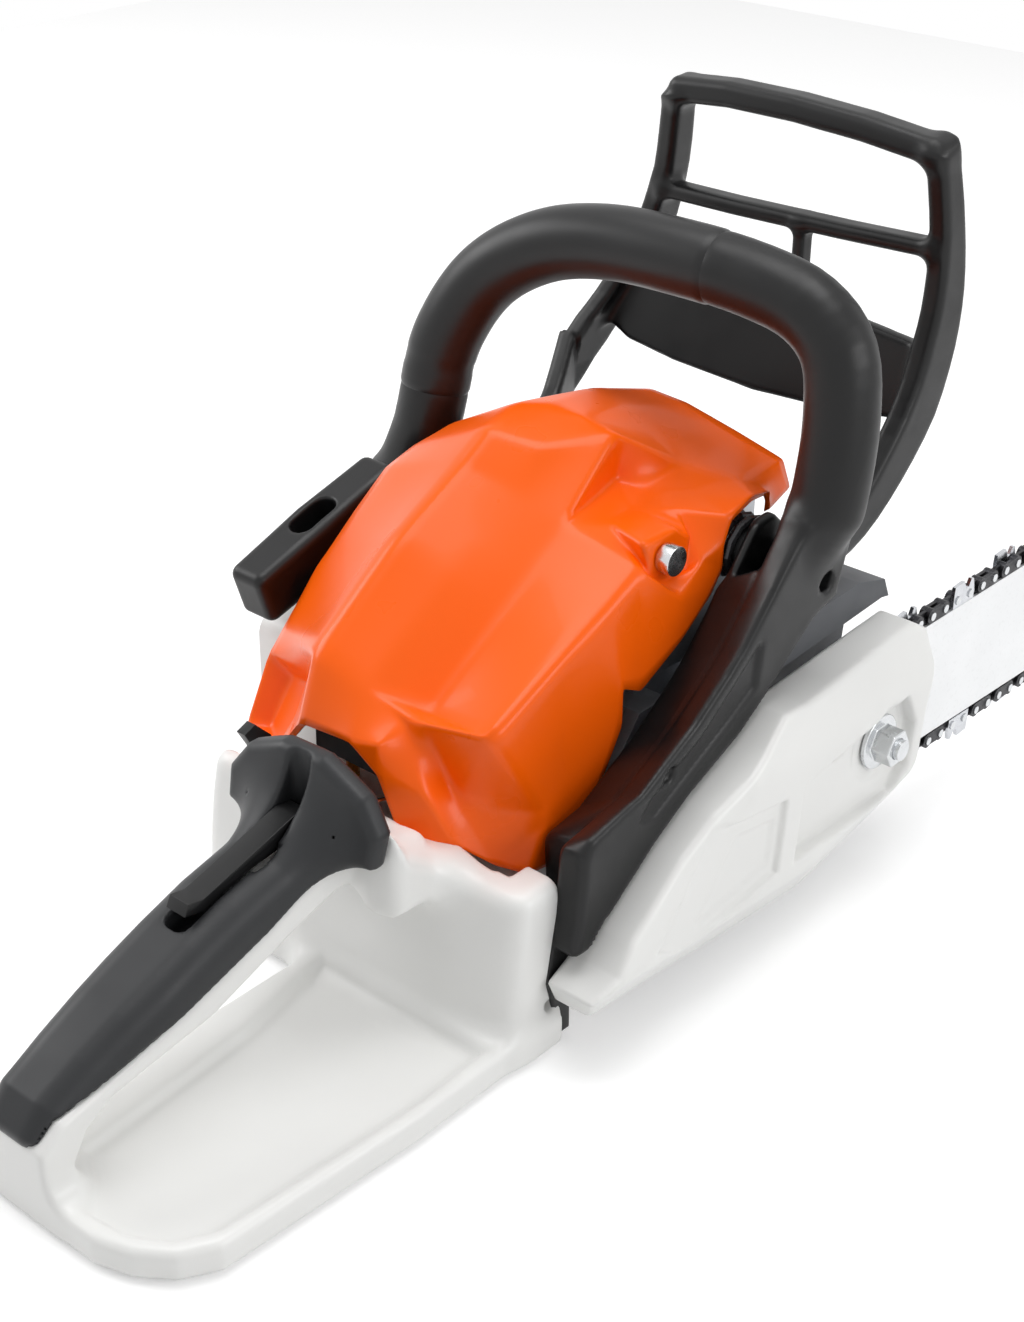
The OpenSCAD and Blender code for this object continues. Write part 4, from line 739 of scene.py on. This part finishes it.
def soft_grip(p):
    """Grip and collar with their fillet, above the line of the beam, less slot and bore."""
    rear = np.clip((p[:, 0] + 262) / 40.0, 0.0, 1.0)
    narrow = p.copy()
    narrow[:, 1] = (p[:, 1] + 8) * (1.0 + 0.12 * (1.0 - rear)) - 8
    grip = plate(narrow, grip_side, -25, 9, 10.5)
    lean = p.copy()
    lean[:, 0] -= (p[:, 2] - 92) * 0.12
    rim = plate(lean, collar, -150.2, -141.5, 3.2, "x")
    body = join(grip, rim, 20.0)
    body = -join(-body, -plate(p, grip_line, -60, 60, 0.1), 1.2)
    body = -join(-body, -p[:, 0] - 140.9, 1.0)
    body = cut(body, brick(p, (-206, -13, 62), (-146, -3, 120), 3.5), 1.2)
    body = cut(body, brick(p, (-176, -15, 50), (-150, -1, 84), 1.0), 0.8)
    return cut(body, rod_y(p, -152, 87, -28, 12, 1.7), 0.5)


moulded("soft_grip", "rear_grip", soft_grip, (-280, -50, 24), (-136, 32, 118), 1.2)

# %% [markdown]
# ## Starter grip
#
# The pull grip is a tapered bar with an oval hole where the rope is knotted. It lies square to the
# rope, so its field is written in the rope's own directions.

# %% Starter grip
rope_lean = math.radians(18)
grip_along = np.array([math.cos(rope_lean), 0.0, math.sin(rope_lean)])
grip_up = np.array([-math.sin(rope_lean), 0.0, math.cos(rope_lean)])
grip_middle = np.array([-20.88, 87.5, 53.22]) + 71 * grip_up - 3 * grip_along


def pull_grip(p):
    """A bar, thinner at its ends, with a collar for the rope below and an oval hole above."""
    q = p - grip_middle
    u, v, w = q @ grip_along, q[:, 1], q @ grip_up
    local = np.stack([u, v * (1.0 + 0.0035 * np.abs(u)), w * (1.0 + 0.002 * np.abs(u))], 1)
    body = brick(local, (-38.5, -9.8, -11.8), (38.5, 9.8, 11.8), 4.0)
    neck = np.maximum(np.hypot(u, v) - 8, np.abs(w + 12) - 3)
    body = join(body, neck, 3.0)
    hole = np.maximum(np.hypot(np.maximum(np.abs(u) - 5.5, 0), v) - 5.0, 1.0 - w)
    return cut(body, hole, 1.6)


moulded("pull_grip", "starter_grip", pull_grip, (-86, 72, 88), (4, 104, 148), 0.9)

# %% [markdown]
# ## Hand guard
#
# The guard in front of the handle is a deep frame: two flat posts that sweep forward and up from
# their pivots, a top bar, a cross bar with a short divider, and a solid plate low down. Each post
# is a plate with the post's side view; the left one is carried sideways as it rises.

# %% Hand guard
def ribbon(line, widths):
    """The outline of a strip along a flat line: each point set off to both sides by half the
    width there, square to the line."""
    line = np.array(line, float)
    way = np.gradient(line, axis=0)
    way /= np.linalg.norm(way, axis=1)[:, None]
    off = np.stack([-way[:, 1], way[:, 0]], 1) * np.array(widths, float)[:, None] / 2
    return np.vstack([line + off, (line - off)[::-1]])


post_line = curve([(32, 132), (52, 130), (74, 136), (94, 151), (111, 170), (120, 192),
                   (123, 212), (120.5, 236), (113.5, 260), (110.5, 268)], 3)
post_width = np.interp(np.arange(len(post_line)), np.arange(0, 28, 3),
                       [15, 15, 17, 20, 22, 21, 18, 14, 12.5, 11.5])
post_outline = ribbon(post_line, post_width)


def crossing(p, x, z, depth, height, low, high, soft):
    """A rounded bar across the saw whose middle height z may change from point to point."""
    q = np.stack([np.abs(p[:, 0] - x) - depth, np.abs(p[:, 2] - z) - height,
                  np.abs(p[:, 1] - (low + high) / 2) - (high - low) / 2], 1) + soft
    return np.linalg.norm(np.maximum(q, 0), axis=1) + np.minimum(q.max(axis=1), 0) - soft


def guard(p):
    """Posts, hubs, bars, divider and plate, joined with small fillets."""
    x, y, z = p.T
    body = plate(p, post_outline, -76, -67, 3.0)
    swing = np.where(x < 94, np.interp(x, [32, 52, 74, 94], [69, 71, 76, 84]),
                     np.interp(z, [151, 170, 192, 212, 236, 260, 269],
                               [84, 80, 70, 62, 54, 47, 45]))
    beside = np.stack([x, (y - swing) * 0.95, z], 1)
    body = np.minimum(body, plate(beside, post_outline, -4.3, 4.3, 2.5))
    crown = np.interp(y, [-72, -40, -10, 20, 46], [265.5, 269, 270.6, 270.6, 268.5])
    body = join(body, crossing(p, 111.8, crown, 6.6, 5.0, -73, 47, 3.6), 6.0)
    rail = np.interp(y, [-72, -30, 20, 56], [228.5, 227, 226, 226])
    body = join(body, crossing(p, 118.6, rail, 5.0, 3.2, -71, 57, 2.6), 5.0)
    body = join(body, brick(p, (114.5, -13.6, 194), (122.6, -8.4, 227), 2.0), 4.0)
    shield = plate(p, [(80, 170), (63, 203), (-8, 203), (-14, 197), (-72, 191), (-72, 168),
                       (-62, 163), (-40, 160), (0, 158), (40, 160), (64, 163)], -500, 500, 0.5,
                   "x")
    lean = (np.abs(x - 110.5 - (z - 162) * 0.27) - 2.9) * 0.965
    body = join(body, -join(-shield, -lean, 2.2), 5.0)
    for low, high in ((-76, -67), (64.3, 74.7)):
        body = join(body, rod_y(p, *guard_pivot, low, high, 9), 2.0)
    for low, high in ((-80, -60), (60, 80)):
        body = cut(body, rod_y(p, *guard_pivot, low, high, 4.05), 0.6)
    return body


moulded("guard", "hand_guard", guard, (18, -79, 117), (138, 93, 279), 1.15)

# %% [markdown]
# ## Sprocket cover
#
# The white cover over the drive sprocket is a deep plate whose face is cut back by slanting
# planes: one falls from the top edge to the long ridge, one tucks the lower rim in. Two panels
# are sunk into the face with an upright rib between them; the front one is deep and holds the
# bar nut.

# %% Sprocket cover
cover_side = [(-108, 31), (-96, 37), (-88, 46), (-61, 65), (-44, 75), (-16, 87), (-1, 95),
              (12, 94), (84, 98), (92, 93), (92, 80), (87, 66), (84, 44), (80, 29), (72, 20),
              (45, 14), (17, 12), (-30, 15), (-69, 20.5), (-104, 22)]
chain_room = [(-92, 33), (-60, 60), (-43, 70), (-15, 82), (0, 90), (86, 93.5), (130, 94),
              (130, 22), (82, 22), (72, 23), (45, 17), (17, 15), (-30, 18), (-69, 24), (-90, 25)]
bar_stud = (60, 58.4)
front_panel = [(5, 66), (72, 74), (79, 60), (76, 42), (69, 33), (2, 35)]
rear_panel = [(-46, 71), (-6, 65), (-9, 36), (-62, 30), (-78, 38)]
inner_panel = [(-34, 62), (-11, 58), (-13, 41), (-54, 36)]


def side_cover(p):
    """The deep plate less its slanting planes, panels, chain room and bores."""
    x, y, z = p.T
    body = plate(p, cover_side, -104.8, -80, 2.2)
    ridge = np.interp(x, [-110, -60, -25, 89], [44, 74, 99, 95])
    top_plane = (-(y + 97) * 0.93 + (z - ridge) * 0.37)
    body = -join(-body, -top_plane, 2.0)
    hem = np.interp(x, [-108, -69, 17, 83], [36, 33, 26, 38])
    hem_plane = -(y + 104) * 0.868 - (z - hem) * 0.496
    body = -join(-body, -hem_plane, 2.0)
    room = plate(p, chain_room, -101.6, -60, 1.0)
    room = np.maximum(room, np.maximum(top_plane, hem_plane) + 2.6)
    for sunk, depth in ((front_panel, -99.2), (rear_panel, -102.4), (inner_panel, -101.6)):
        body = cut(body, plate(p, sunk, -120, depth, 0.8), 1.8)
        room = cut(room, plate(p, sunk, -120, depth + 2.4, 0.8) - 2.0, 0.5)
    nut = rod_y(p, *bar_stud, -99.4, -80, 19)
    body = cut(body, cut(room, nut, 0.5), 0.8)
    body = cut(body, rod_y(p, *bar_stud, -120, -99, 15.6), 1.4)
    body = cut(body, rod_y(p, *bar_stud, -120, -70, 4.6), 0.6)
    drop = bar(p, [(34, -100, 66), (31, -100, 63)], [4.4, 1.6])
    return cut(body, np.maximum(drop, -p[:, 1] - 130), 0.6)


moulded("side_cover", "sprocket_cover", side_cover, (-112, -108, 8), (96, -76, 102), 1.15)

# %% [markdown]
# ## Camera and light
#
# The camera stands behind the saw on its right, above the rear handle, and looks down along it.
# Its place and lens come from lines on the saw itself. The light is a plain studio: one wide
# lamp above, one from the left and a weak one from the right, over a white floor that keeps the
# saw's soft shadow.

# %% Camera
heading, pitch, roll = (math.radians(a) for a in (41.16, 28.93, 0.51))
ahead = np.array([math.cos(heading) * math.cos(pitch), math.sin(heading) * math.cos(pitch),
                  -math.sin(pitch)])
side = np.array([math.sin(heading), -math.cos(heading), 0.0])
upward = np.cross(side, ahead)
right = side * math.cos(roll) + upward * math.sin(roll)
top = -side * math.sin(roll) + upward * math.cos(roll)
camera_data = bpy.data.cameras.new("camera")
camera_data.sensor_width = 36.0
camera_data.lens = 58.81
camera = bpy.data.objects.new("camera", camera_data)
bpy.context.scene.collection.objects.link(camera)
turn = np.eye(4)
turn[:3, 0], turn[:3, 1], turn[:3, 2] = right, top, -ahead
turn[:3, 3] = (-0.55384, -0.45387, 0.47541)
camera.matrix_world = Matrix(turn.tolist())
bpy.context.scene.camera = camera
bpy.context.scene.view_settings.view_transform = "Standard"


# %% Lamps, each aimed at the engine
def lamp(name, place, size, watts):
    data = bpy.data.lights.new(name, "AREA")
    data.shape = "RECTANGLE"
    data.size, data.size_y = size
    data.energy = watts
    light = bpy.data.objects.new(name, data)
    bpy.context.scene.collection.objects.link(light)
    light.location = place
    away = np.array(place) - np.array([-0.05, 0.0, 0.1])
    light.rotation_euler = (math.atan2(math.hypot(away[0], away[1]), away[2]), 0.0,
                            math.atan2(away[1], away[0]) + math.pi / 2)
    return light


lamp("over", (0.1, 0.1, 1.7), (1.2, 0.9), 13.5)
lamp("left", (-0.6, 1.5, 1.0), (1.0, 0.8), 12.0)
lamp("right", (0.3, -1.5, 0.9), (1.3, 0.5), 9.0)
print("camera and three lamps")

# %% World and floor
soft_light, white, floor_lift = 0.42, 1.0, 0.32
reach, floor_z = 1.3, -0.0006


def seen_rays(tree):
    """One for the rays that show the backdrop: straight, mirrored or through a clear piece."""
    ray = tree.nodes.new("ShaderNodeLightPath")
    value = ray.outputs["Is Camera Ray"]
    for kind in ("Is Glossy Ray", "Is Transmission Ray"):
        most = tree.nodes.new("ShaderNodeMath")
        most.operation = "MAXIMUM"
        link(tree, value, most.inputs[0])
        link(tree, ray.outputs[kind], most.inputs[1])
        value = most.outputs[0]
    return value


world = bpy.data.worlds.new("studio")
bpy.context.scene.world = world
world.use_nodes = True
sky = world.node_tree
sky.nodes.clear()
either = sky.nodes.new("ShaderNodeMixShader")
link(sky, seen_rays(sky), either.inputs["Fac"])
for slot, strength in ((1, soft_light), (2, white)):
    backdrop = sky.nodes.new("ShaderNodeBackground")
    backdrop.inputs["Color"].default_value = (1.0, 1.0, 1.0, 1.0)
    backdrop.inputs["Strength"].default_value = strength
    link(sky, backdrop.outputs[0], either.inputs[slot])
link(sky, either.outputs[0], sky.nodes.new("ShaderNodeOutputWorld").inputs["Surface"])

floor_mesh = bpy.data.meshes.new("floor")
floor_mesh.from_pydata([(-reach, -reach, floor_z), (reach, -reach, floor_z),
                        (reach, reach, floor_z), (-reach, reach, floor_z)], [], [(0, 1, 2, 3)])
floor = bpy.data.objects.new("floor", floor_mesh)
bpy.context.scene.collection.objects.link(floor)
paper = bpy.data.materials.new("floor_paper")
paper.use_nodes = True
sheet = paper.node_tree
matt = sheet.nodes["Principled BSDF"]
matt.inputs["Base Color"].default_value = (0.86, 0.86, 0.86, 1.0)
matt.inputs["Roughness"].default_value = 0.9
matt.inputs["Specular IOR Level"].default_value = 0.1
glow = sheet.nodes.new("ShaderNodeEmission")
lift = sheet.nodes.new("ShaderNodeMath")
lift.operation = "MULTIPLY"
lift.inputs[1].default_value = floor_lift
link(sheet, seen_rays(sheet), lift.inputs[0])
link(sheet, lift.outputs[0], glow.inputs["Strength"])
both = sheet.nodes.new("ShaderNodeAddShader")
link(sheet, matt.outputs[0], both.inputs[0])
link(sheet, glow.outputs[0], both.inputs[1])
link(sheet, both.outputs[0], sheet.nodes["Material Output"].inputs["Surface"])
floor_mesh.materials.append(paper)
print("white world and floor")
